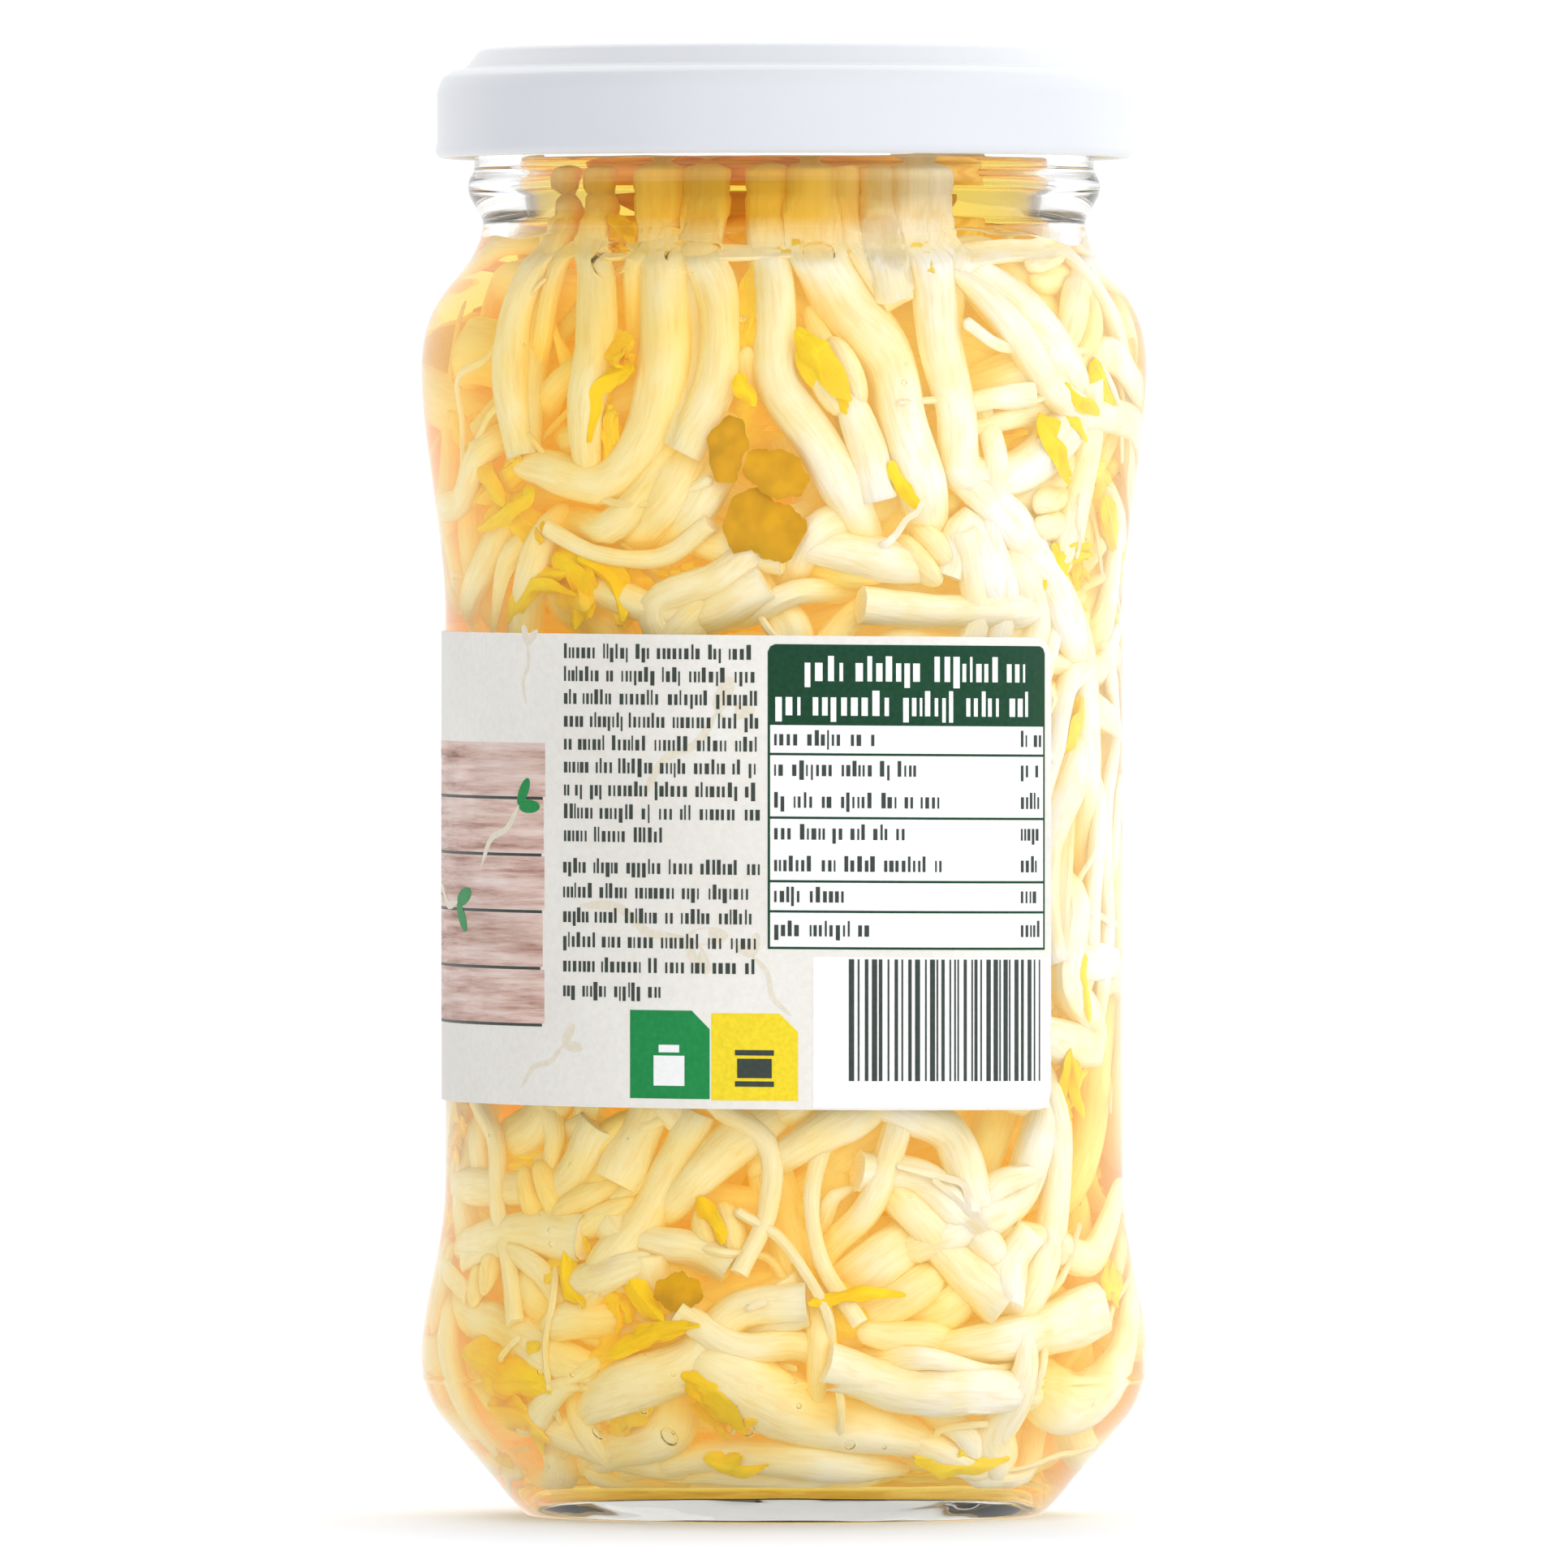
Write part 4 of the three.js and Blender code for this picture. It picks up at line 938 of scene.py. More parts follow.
class Net:
    """All the strands' points as one set of arrays, with the segments between them."""

    def __init__(self, strands):
        self.strands = strands
        self.first = np.cumsum([0] + [len(s["points"]) for s in strands])
        self.at = np.concatenate([s["points"] for s in strands]).astype(float)
        halves = []
        for strand in strands:
            last = len(strand["points"]) - 1
            halves += [half_width(strand, i / last) for i in range(last + 1)]
        self.half = np.array(halves)
        self.ease = np.concatenate([np.full(len(s["points"]), s["ease"]) for s in strands])
        rows, rods = [], []
        for s, strand in enumerate(strands):
            count = len(strand["points"])
            for i in range(count - 1):
                a = self.first[s] + i
                rows.append((a, a + 1, s, i, strand["bunch"]))
                rods.append((a, a + 1, 1.0))
                if i + 2 < count:
                    rods.append((a, a + 2, 0.25))
        self.segments = np.array(rows)
        ties = self.bunch_ties()
        rods = np.array(rods + [(a, b, 1.0) for a, b in ties])
        self.rod_a, self.rod_b = rods[:, :2].astype(int).T
        self.stiff = rods[:, 2]
        self.rest = norms(self.at[self.rod_a] - self.at[self.rod_b])
        self.rest[len(rods) - len(ties) :] = 0
        self.set_pairs(ties)

    def bunch_ties(self):
        """Where the strands of a bunch grow together: their nearest points to its first strand."""
        ties, leads = [], {}
        for s, strand in enumerate(self.strands):
            lead = leads.setdefault(strand["bunch"], s)
            if lead == s or strand["bunch"] < 0:
                continue
            ours = self.at[self.first[lead] : self.first[lead + 1]]
            theirs = self.at[self.first[s] : self.first[s + 1]]
            apart = np.linalg.norm(ours[:, None] - theirs[None], axis=2)
            i, k = np.unravel_index(np.argmin(apart), apart.shape)
            ties.append((self.first[lead] + i, self.first[s] + k))
        return ties

    def set_pairs(self, ties):
        """Which pairs of segments may meet at all: not neighbours on a strand, nor those at a tie."""
        seg = self.segments
        p, q = np.triu_indices(len(seg), 1)
        same_strand = seg[p, 2] == seg[q, 2]
        keep = ~(same_strand & (seg[q, 3] - seg[p, 3] < 3))
        same = (seg[p, 4] == seg[q, 4]) & ((seg[p, 4] >= 0) | same_strand)
        tied = np.zeros(len(p), bool)
        for a, b in ties:
            at_a = (seg[:, 0] - 1 <= a) & (a <= seg[:, 1] + 1)
            at_b = (seg[:, 0] - 1 <= b) & (b <= seg[:, 1] + 1)
            tied |= (at_a[p] & at_b[q]) | (at_b[p] & at_a[q])
        tied &= same & ~same_strand
        keep &= (self.ease[seg[p, 0]] > 0) | (self.ease[seg[q, 0]] > 0)
        self.pair_p, self.pair_q = p[keep], q[keep]
        self.pair_same, self.pair_tied = same[keep], tied[keep]

    def near(self):
        """The pairs of segments that could touch soon, with the room to leave between them."""
        seg, at, half = self.segments, self.at, self.half
        middle = (at[seg[:, 0]] + at[seg[:, 1]]) / 2
        wide = np.maximum(half[seg[:, 0]], half[seg[:, 1]])
        reach = STEP + 2.5 + wide[self.pair_p] + wide[self.pair_q]
        apart = np.sum((middle[self.pair_p] - middle[self.pair_q]) ** 2, axis=1)
        keep = (apart <= reach**2) & ~self.pair_tied
        p, q = seg[self.pair_p[keep]], seg[self.pair_q[keep]]
        return p[:, 0], p[:, 1], q[:, 0], q[:, 1], np.where(self.pair_same[keep], 0, GAP)

    def closest(self, pa, pb, qa, qb):
        """The nearest places of two sets of segments as shares of each, and the vector between."""
        at = self.at
        ab, cd, ca = at[pb] - at[pa], at[qb] - at[qa], at[pa] - at[qa]
        aa, cc, ac = (np.sum(x * y, axis=1) for x, y in ((ab, ab), (cd, cd), (ab, cd)))
        ap, cp = (np.sum(x * y, axis=1) for x, y in ((ab, ca), (cd, ca)))
        bottom = aa * cc - ac * ac
        safe = np.where(bottom > 1e-9, bottom, 1)
        s = np.where(bottom > 1e-9, np.clip((ac * cp - cc * ap) / safe, 0, 1), 0.5)
        t = np.clip((ac * s + cp) / cc, 0, 1)
        s = np.clip((ac * t - ap) / aa, 0, 1)
        push = ca + ab * s[:, None] - cd * t[:, None]
        return s, t, push, norms(push)

    def settle(self, rounds, ring):
        """Pushes strands apart until they only touch, keeping their lengths, bends and the ring."""
        count = len(self.at)
        for turn in range(rounds):
            if turn % 12 == 0:
                pa, pb, qa, qb, room = self.near()
            push = self.at[self.rod_a] - self.at[self.rod_b]
            apart = np.maximum(norms(push), TINY)
            both = self.ease[self.rod_a] + self.ease[self.rod_b]
            push *= ((self.rest - apart) / apart * self.stiff / np.where(both > 0, both, 1))[:, None]
            index = [self.rod_a, self.rod_b]
            moves = [push * self.ease[self.rod_a][:, None], -push * self.ease[self.rod_b][:, None]]
            weights = [np.ones(len(push)), np.ones(len(push))]
            s, t, push, apart = self.closest(pa, pb, qa, qb)
            need = self.half[pa] * (1 - s) + self.half[pb] * s
            need += self.half[qa] * (1 - t) + self.half[qb] * t + room
            hit = apart < need
            parts = [(pa, 1 - s), (pb, s), (qa, t - 1), (qb, -t)]
            parts = [(i[hit], w[hit]) for i, w in parts]
            load = sum(w * w * self.ease[i] for i, w in parts)
            load = np.where(load > 0, load, 1)
            push = push[hit] * ((need - apart)[hit] / (np.maximum(apart[hit], TINY) * load))[:, None]
            for i, w in parts:
                index.append(i)
                moves.append(push * (w * self.ease[i])[:, None])
                weights.append(np.abs(w))
            index, moves = np.concatenate(index), np.concatenate(moves)
            share = np.bincount(index, np.concatenate(weights), count)
            move = np.stack([np.bincount(index, moves[:, k], count) for k in range(3)], axis=1)
            move *= (1.2 / np.maximum(1, share))[:, None]
            self.at += move
            self.keep_in(ring)

    def keep_in(self, ring):
        """Brings loose points, and the middles between points, back into the ring."""
        free = self.ease > 0
        self.at[free] = ring(self.at[free], self.half[free])
        a, b = self.segments[:, 0], self.segments[:, 1]
        middle = (self.at[a] + self.at[b]) / 2
        shift = ring(middle, (self.half[a] + self.half[b]) / 2) - middle
        move = np.zeros_like(self.at)
        for k in range(3):
            move[:, k] = np.bincount(a, shift[:, k], len(move))
            move[:, k] += np.bincount(b, shift[:, k], len(move))
        move[~free] = 0
        self.at += move * MIDDLE_SHARE

    def give_back(self):
        """Hands each strand the points where it came to rest."""
        for s, strand in enumerate(self.strands):
            strand["points"] = self.at[self.first[s] : self.first[s + 1]].copy()


def depth_of(points):
    """How far each point is from the axis of the jar, and never nought."""
    return np.maximum(np.hypot(points[:, 0], points[:, 1]), TINY)


def drawn_in(points, scale, height):
    """The points moved to a share of their distance from the axis, at a height."""
    return np.column_stack([points[:, 0] * scale, points[:, 1] * scale, height])


def in_ring(points, half):
    """Points kept in the ring-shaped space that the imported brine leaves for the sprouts."""
    height = np.clip(points[:, 2], HOLE_FLOOR + FIT + half, TOP_OF_SPROUTS)
    depth = depth_of(points)

    def beside(wall):
        return (half + FIT) * np.hypot(1, (wall(height + 1) - wall(height - 1)) / 2)

    deepest = core_radius(height) + beside(core_radius)
    facet = hole_radius(height) * math.cos(math.pi / ROUND_STEPS)
    kept = np.clip(depth, deepest, facet - beside(hole_radius))
    return drawn_in(points, kept / depth, height)


def in_jar(points, half):
    """Points kept anywhere in the brine."""
    height = np.clip(points[:, 2], JAR_FLOOR + half, JAR_CEILING)
    depth = depth_of(points)
    wall = glass_radius(height) - 0.3
    lean = np.hypot(1, (glass_radius(height + 1) - glass_radius(height - 1)) / 2)
    return drawn_in(points, np.minimum(1, (wall - half * lean) / depth), height)


# ---- Shapes of stems, leaves, cotyledons and hulls ----


class Heap:
    """Closed shells gathered into one mesh, with a tone and a grain at each vertex."""

    def __init__(self):
        self.points, self.faces, self.tones, self.grains, self.count = [], [], [], [], 0

    def add(self, points, faces, tones, grains):
        self.points.append(np.asarray(points))
        self.faces.extend(tuple(i + self.count for i in face) for face in faces)
        self.tones.append(np.asarray(tones))
        self.grains.append(np.asarray(grains))
        self.count += len(points)

    def add_rings(self, rings, tips, tone):
        """A closed shell over rings of (points, tone, grain) and a (point, grain) at each end."""
        sides = len(rings[0][0])
        tones = [np.tile(value, (sides, 1)) for _, value, _ in rings] + [[tone(0), tone(1)]]
        points = [points for points, _, _ in rings] + [[point for point, _ in tips]]
        grains = [grain for _, _, grain in rings] + [[grain for _, grain in tips]]
        points, tones, grains = map(np.concatenate, (points, tones, grains))
        last, start = (len(rings) - 1) * sides, len(rings) * sides
        faces = tube_faces(len(rings), sides)
        for k in range(sides):
            m = (k + 1) % sides
            faces += [(start, m, k), (start + 1, last + k, last + m)]
        self.add(at_glass(points), faces, tones, grains)

    def build(self, name):
        """The piece, with the sprouts deep in the jar toned down by how deep they are: a painted shade
        and glow by how far in from the glass each vertex lies.
        """
        points, tones = np.concatenate(self.points), np.concatenate(self.tones)
        piece = new_piece(name, points, self.faces)
        wall = wall_at(points[:, 2])
        # Painted shade: the further a vertex lies in from the glass, also on the sides of stems turned
        # from it, the more amber and glowing the flesh.
        behind = np.clip((wall - np.hypot(*points[:, :2].T) - 0.9) / 6.0, 0, 1)
        tones[:, 1] = np.clip(0.25 * tones[:, 1] + 0.95 * behind * (2 - behind), 0, 1)
        colours = np.column_stack([tones, np.ones(len(tones))]).astype(np.float32)
        tone = piece.data.attributes.new("tone", "FLOAT_COLOR", "POINT")
        tone.data.foreach_set("color", colours.ravel())
        grain = piece.data.attributes.new("grain", "FLOAT_VECTOR", "POINT")
        grain.data.foreach_set("vector", np.concatenate(self.grains).astype(np.float32).ravel())
        piece.data.update()
        smooth(piece, 50)
        return piece


def wobble(random, shares, waves, size):
    """A smooth random line: a few sine waves of random phase."""
    line = np.zeros(len(shares))
    for k in range(1, waves + 1):
        line += np.sin(math.tau * (k * shares * random.uniform(0.7, 1.3) + random.uniform(0, 1))) / k
    return line * size


def frames_along(points):
    """Directions at each point: along the strand, out from the axis of the jar, and sideways."""
    along = np.gradient(points, axis=0)
    along /= np.maximum(norms(along), TINY)[:, None]
    out = np.column_stack([points[:, 0], points[:, 1], np.zeros(len(points))])
    near = norms(out) < 9
    out /= np.maximum(norms(out), TINY)[:, None]
    out -= np.sum(out * along, axis=1)[:, None] * along
    small = norms(out) < 0.2
    if np.any(near | small):
        out = carried_frame(along)
    out /= norms(out)[:, None]
    return along, out, np.cross(out, along)


def carried_frame(along):
    """A direction across the strand that turns as little as it can."""
    start = np.cross(along[0], (0, 0, 1))
    if np.linalg.norm(start) < 0.1:
        start = np.cross(along[0], (1, 0, 0))
    out = [start / np.linalg.norm(start)]
    for direction in along[1:]:
        side = out[-1] - (out[-1] @ direction) * direction
        out.append(side / np.linalg.norm(side))
    return np.array(out)


def at_glass(points, clear=0.12):
    """Points pressed flat where they would come through the glass."""
    wall = wall_at(points[:, 2]) - clear
    column = MOUTH_RADIUS - AIR_GAP - FIT
    above = np.clip((points[:, 2] - AIR_LINE + 2.6) / 1.4, 0, 1)
    wall = wall + above * np.minimum(0, column - wall)
    return drawn_in(points, np.minimum(1, wall / depth_of(points)), np.maximum(points[:, 2], 4.3))


# The rings that close a stem's end, from its tip: how far out, in half widths, and how wide.
CUT_RIM = [(0.0, 0.72), (0.1, 0.94)]
ROUND_RIM = [(0.75, 0.35), (0.45, 0.72), (0.15, 0.94)]
GRAIN_PITCH, GRAIN_WIDTH = 0.11, 1.6
RIBS = 0.035
ROOT_TIP = 0.34
DIVE = (5, 9)
LOBE_SIDES, LOBE_RINGS = 14, 10


def tube_faces(rings, sides, base=0):
    """The faces round a tube through rings of points, open at both ends."""
    faces = []
    for a in range(base, base + (rings - 1) * sides, sides):
        for k in range(sides):
            m = (k + 1) % sides
            faces.append((a + k, a + m, a + sides + m, a + sides + k))
    return faces


def add_tube(heap, random, line, half, thick, tone, cut=(False, False), sides=7, ribs=0.0):
    """A stem: soft ribs, a slightly uneven width and ends that are cut square or rounded."""
    along, out, side = frames_along(line)
    last = len(line) - 1
    shares = np.linspace(0, 1, last + 1)
    length = running(line)
    half = half * (1 + wobble(random, shares, 6, 0.045))
    thick = thick * (1 + wobble(random, shares, 4, 0.04))
    ends = (0, -1, cut[0]), (last, 1, cut[1])
    caps = []
    for end, way, is_cut in ends:
        rim = CUT_RIM if is_cut else ROUND_RIM
        for reach, size in rim if end == 0 else rim[::-1]:
            caps.append((end, line[end] + along[end] * way * reach * half[end] * (not is_cut), size))
    # Half of the closing rings go to each end. Where only one end is cut, that leaves out the last
    # ring of the other, or, if the start is the rounded one, draws its third ring after the end.
    share = len(caps) // 2
    order = caps[:share] + [(i, line[i], 1.0) for i in range(last + 1)] + caps[share : 2 * share]
    turn = np.arange(sides) / sides * math.tau
    phase, twist = random.uniform(0, math.tau), random.uniform(-0.04, 0.04)
    count = random.integers(5, 8)
    rings = []
    for i, centre, size in order:
        rib = 1 + ribs * np.sin(count * turn + phase + twist * length[i] * 3)
        rib += ribs * 0.8 * np.sin(3 * turn - phase + 0.25 * length[i])
        x = np.cos(turn) * half[i] * size * rib
        y = np.sin(turn) * thick[i] * size * rib
        reach = np.full(sides, length[i] * GRAIN_PITCH + phase)
        grain = np.column_stack([np.cos(turn) * GRAIN_WIDTH, np.sin(turn) * GRAIN_WIDTH, reach])
        rings.append((centre + x[:, None] * side[i] + y[:, None] * out[i], tone(shares[i]), grain))
    tips = []
    for end, way, is_cut in ends:
        reach = -0.12 if is_cut else 0.85
        grain = (0, 0, phase + length[end] * GRAIN_PITCH)
        tips.append((line[end] + along[end] * way * reach * half[end], grain))
    heap.add_rings(rings, tips, tone)


def add_blade(heap, random, line, half, tone, shape, columns=9, lean=1.0, clear=0.1):
    """A leaf or a piece of skin: a thin closed sheet that is folded, cupped and ruffled."""
    fold, cup, ruffle, thin = shape
    _, out, side = frames_along(line)
    rings = len(line)
    shares = np.linspace(0, 1, rings)
    length = running(line)
    across = np.linspace(-1, 1, columns)
    turn = lean * (random.uniform(-0.5, 0.5) + wobble(random, shares, 2, 0.35))
    side_turned = side * np.cos(turn)[:, None] + out * np.sin(turn)[:, None]
    out_turned = out * np.cos(turn)[:, None] - side * np.sin(turn)[:, None]
    waves = random.uniform(0.9, 1.8)
    phases = random.uniform(0, math.tau, 2)
    tears = 1 + wobble(random, shares, 4, 0.06)
    top = []
    for i in range(rings):
        wide = max(half[i] * tears[i], 0.05)
        x = across * wide * math.cos(fold * 0.9)
        y = -np.abs(across) * wide * math.sin(fold) - across**2 * wide * cup
        edge = np.where(across < 0, phases[0], phases[1])
        y = y + ruffle * wide * across**2 * np.sin(waves * length[i] + edge)
        top.append(line[i] + x[:, None] * side_turned[i] + y[:, None] * out_turned[i])
    top = np.array(top)
    normal = np.cross(np.gradient(top, axis=1), np.gradient(top, axis=0))
    normal /= np.maximum(np.linalg.norm(normal, axis=2), TINY)[:, :, None]
    low = (top - normal * thin).reshape(-1, 3)
    size = rings * columns
    faces = []
    for i in range(rings - 1):
        for k in range(columns - 1):
            a = i * columns + k
            quad = (a, a + 1, a + columns + 1, a + columns)
            faces.append(quad)
            faces.append(tuple(v + size for v in quad[::-1]))
    border = list(range(columns))
    border += [i * columns + columns - 1 for i in range(1, rings)]
    border += [(rings - 1) * columns + k for k in range(columns - 2, -1, -1)]
    border += [i * columns for i in range(rings - 2, 0, -1)]
    for a, b in zip(border, border[1:] + border[:1]):
        faces.append((b, a, a + size, b + size))
    points = np.concatenate([top.reshape(-1, 3), low])
    rim = np.abs(np.tile(across, rings)) ** 3
    tones = np.array([tone(shares[i // columns], rim[i]) for i in range(size)])
    grains = np.column_stack(
        [np.tile(across * 2.2, rings), np.full(size, phases[0]), np.repeat(length * 0.25, columns)]
    )
    heap.add(at_glass(points, clear), faces, np.tile(tones, (2, 1)), np.tile(grains, (2, 1)))


def add_lobe(heap, centre, along, out, side, size, tone):
    """One cotyledon: half a bean, rounded outside and flatter inside."""
    long, wide, thick = size
    turn = np.arange(LOBE_SIDES) / LOBE_SIDES * math.tau
    rings = []
    for share in (np.arange(LOBE_RINGS) + 0.5) / LOBE_RINGS:
        reach = -math.cos(math.pi * share)
        swell = math.sin(math.pi * share) ** 0.75
        x = np.cos(turn) * swell * wide + 0.18 * wide * (1 - reach**2)
        y = np.sin(turn) * swell * thick * np.where(np.sin(turn) > 0, 1.0, 0.45)
        middle = centre + along * reach * long
        grain = np.column_stack([np.cos(turn), np.sin(turn), np.full(LOBE_SIDES, reach * 0.6)])
        rings.append((middle + x[:, None] * side + y[:, None] * out, tone(share), grain))
    tip = along * long * 1.02
    heap.add_rings(rings, [(centre - tip, (0, 0, -0.6)), (centre + tip, (0, 0, 0.6))], tone)


def fine_line(strand, spacing, outward, dives):
    """A strand's smooth centreline, pressed a little outwards, whose ends may dive inwards."""
    marks = np.array(strand["points"])
    depth = depth_of(marks)
    ease = np.clip((depth - 19) / 7, 0, 1)
    scale = (depth + outward * ease * ease * (3 - 2 * ease)) / depth
    marks[:, :2] *= scale[:, None]
    for end, dive in zip((0, -1), dives):
        if dive <= 0:
            continue
        at = marks[end]
        along = at - marks[1 if end == 0 else -2]
        along /= np.linalg.norm(along)
        inward = -at * (1, 1, 0)
        inward /= max(np.linalg.norm(inward), TINY)
        if at[2] > NECK_START:
            rise = TOP_OF_SPROUTS - 0.6 - at[2]
            depth_here = np.hypot(*at[:2])
            near = at + inward * max(0, depth_here - NEAR_MOUTH) * 0.6 + (0, 0, rise * 0.5)
            far = at + inward * max(0, depth_here - AT_MOUTH) + (0, 0, rise)
        else:
            near = at + along * dive * 0.55 + inward * dive * 0.22
            far = at + along * dive + inward * dive * 0.6
            for mark in (near, far):
                mark[2] = min(max(mark[2], 6.5), max(at[2], 118.5))
        marks = np.vstack([far, near, marks]) if end == 0 else np.vstack([marks, near, far])
    line, _ = spaced_curve(marks, max(4, int(round(reach_of(marks) / spacing))))
    return line


def leaf_outline(shares):
    """Half the width of a leaf along its length, as a share of the widest."""
    return np.sin(math.pi * np.clip(shares**0.85 * 0.97 + 0.02, 0, 1)) ** 0.8


def leaf_cluster(heap, random, line, wide, tone):
    """Three young leaves that share a base: narrow, pointed and folded along the middle."""
    line, _ = spaced_curve(line[:: max(1, len(line) // 4)], 18)
    shares = np.linspace(0, 1, 19)
    outline = leaf_outline(shares)
    for k in range(3):
        drift = random.normal(size=3) * 1.5
        bent = line + shares[:, None] ** 1.4 * drift * (k > 0)
        bent = bent + np.column_stack([wobble(random, shares, 2, 0.22) for _ in range(3)])
        scale = random.uniform(0.75, 1.1)
        fold = random.uniform(0.35, 1.15)
        add_blade(heap, random, bent, wide * scale * outline, tone, (fold, 0.12, 0.2, 0.22))


def end_dives(random, strand, thick):
    """How far each end of a strand dives inwards, so that few cut ends show."""
    kind, headless = strand["kind"], not strand["head"]
    hides = random.uniform(0, 1, 2) < (0.6 if strand["ease"] < 1 else 0.8)
    dives = [0.0, 0.0]
    if not thick:
        return dives
    if kind == "stem":
        dives[1] = random.uniform(*DIVE) * hides[1]
    if kind in ("stem", "rooted") and headless:
        dives[0] = random.uniform(*DIVE) * hides[0]
    if kind == "stem":
        heights = [strand["points"][end][2] for end in (0, -1)]
        tops = [heights[0] > NECK_START and headless, heights[1] > NECK_START]
        dives = [max(dive, DIVE[0] * top) for dive, top in zip(dives, tops)]
    return dives


def stem_half(random, strand, at, run, dives):
    """Half the width of a stem along its length, thinner at its head, its root and where it dives."""
    radius, wave = strand["radius"], random.uniform(0.4, 1.2)
    half = radius * (1 + 0.1 * np.sin(math.tau * (at * wave + random.uniform(0, 1))))
    for end, dive in enumerate(dives):
        if dive and strand["points"][-end][2] <= NECK_START:
            half *= 0.42 + 0.58 * np.clip(np.abs(end - at) * run / (dive * 1.3), 0, 1) ** 0.7
    if strand["head"]:
        half *= 0.5 + 0.5 * np.clip(at * run / HEAD_LENGTH, 0, 1)
    if strand["kind"] == "rooted":
        left = (1 - at) * run
        taper = np.clip((left / ROOT_LENGTH - 0.3) / 0.7, 0, 1)
        half = np.where(left < ROOT_LENGTH, ROOT_TIP + (half - ROOT_TIP) * taper, half)
    return half


def add_strand(heap, strand, index, spacing, sides, outward):
    """Everything that grows on one strand."""
    random = np.random.default_rng(1000 + index)
    kind, radius, head = strand["kind"], strand["radius"], strand["head"]
    thick = radius > 1.3
    pale = random.uniform(0, 1)
    dives = end_dives(random, strand, thick)
    line = fine_line(strand, spacing, outward, dives)
    length = reach_of(line)

    def stem_tone(share):
        brown = 0.25 * max(0, share - 0.8) / 0.2 if kind == "rooted" else 0.0
        return (0.0, pale, brown)

    def leaf_tone(share, rim=0.0):
        return (0.8 + 0.2 * pale, pale, 0.1 * rim + 0.15 * max(0, share - 0.85) / 0.15)

    def bean_tone(share):
        return (0.15 + 0.3 * pale, pale, 0.0)

    def hull_tone(share, rim):
        return (1.0, pale, 0.2 * rim)

    if kind == "hull":
        add_hull(heap, random, line, radius * 0.85, hull_tone)
        if strand["bunch"] - BUNCHES == TORN_HULL:
            middle = line.mean(axis=0)
            lower = middle + (line - middle) * 1.2 + (-1.0, 0, -5.0)
            add_hull(heap, random, lower, radius * 1.25, hull_tone)
        return
    if kind == "leaf":
        leaf_cluster(heap, random, line, radius * 1.25, leaf_tone)
        return
    if kind == "bean":
        add_bean(heap, line, (length * 0.52, radius * 0.62, radius * 0.8), bean_tone)
        return
    stem = line
    if head:
        start = max(1, int(len(line) * (HEAD_LENGTH - 1.2) / length))
        stem, bud = line[start:], line[: start + 2]
        if head == "leaf":
            leaf_cluster(heap, random, bud[::-1], 1.9, leaf_tone)
        else:
            add_bean(heap, bud, (HEAD_LENGTH * 0.5, 1.55, 2.0), bean_tone)
    at = np.linspace(0, 1, len(stem))
    half = stem_half(random, strand, at, length - (HEAD_LENGTH if head else 0), dives)
    flat = random.uniform(0.74, 1.0)
    squared = (not head and dives[0] == 0, kind == "stem" and dives[1] == 0)
    add_tube(heap, random, stem, half, half * flat, stem_tone, squared, sides, RIBS)
    if thick and random.uniform(0, 1) < 0.35:
        add_rootlet(heap, random, stem, stem_tone)


def add_hull(heap, random, line, half, tone):
    """A torn piece of seed skin that lies flat against the glass."""
    line, _ = spaced_curve(line[:: max(1, len(line) // 4)], 30)
    wall = wall_at(line[:, 2]) - 0.25
    line[:, :2] *= (wall / np.hypot(line[:, 0], line[:, 1]))[:, None]
    shares = np.linspace(0, 1, 31)
    ragged = 1 + 0.1 * np.sin(9 * shares + random.uniform(0, math.tau))
    ragged = ragged + wobble(random, 3 * shares, 3, 0.05)
    wide = half * np.sin(math.pi * (0.03 + 0.94 * shares)) ** 0.35 * ragged
    add_blade(heap, random, line, wide, tone, (0.04, 0.05, 0.06, 0.25), 19, 0.0, 0.03)


def add_bean(heap, line, size, tone):
    """Two cotyledons side by side at the middle of a line."""
    middle = len(line) // 2
    along, out, side = (directions[middle] for directions in frames_along(line))
    for way in (-1, 1):
        centre = line[middle] + side * way * size[1] * 0.66
        add_lobe(heap, centre, along, out, side * way, size, tone)


def add_rootlet(heap, random, line, tone):
    """A fine side root that leaves a stem and wanders beside it."""
    start = int(len(line) * random.uniform(0.3, 0.7))
    way = random.normal(size=3)
    way /= np.linalg.norm(way)
    marks = [line[start]]
    for _ in range(5):
        way = way + random.normal(size=3) * 0.35
        way[2] *= 0.8
        way /= np.linalg.norm(way)
        marks.append(marks[-1] + way * random.uniform(1.6, 2.6))
    root, _ = spaced_curve(marks, 14)
    half = np.linspace(0.4, 0.3, len(root))
    add_tube(heap, random, root, half, half, tone)


# ---- Operators: one for each piece or group of like pieces ----


def thread_segment(index):
    """A ridge round the finish that rises counter-clockwise as seen from above."""
    start = LUG_START - LUG_ARC / 2 - 2 + index * 360 / THREADS
    low = LID_BOTTOM + LUG_HEIGHT + 0.35

    def place(u, v, w):
        ridge = THREAD_DEPTH * min(1, 6 * u, 6 * (1 - u))
        crest = FINISH_RADIUS + ridge - (0.35 * ridge if w in (0, 1) else 0)
        radius = crest if v < 0.5 else FINISH_RADIUS - 0.8
        height = low + THREAD_RISE * u + THREAD_THICKNESS * w
        return polar(radius, start + THREAD_ARC * u, height)

    return shaped_box(f"thread_{index + 1}", place, 20, 4)


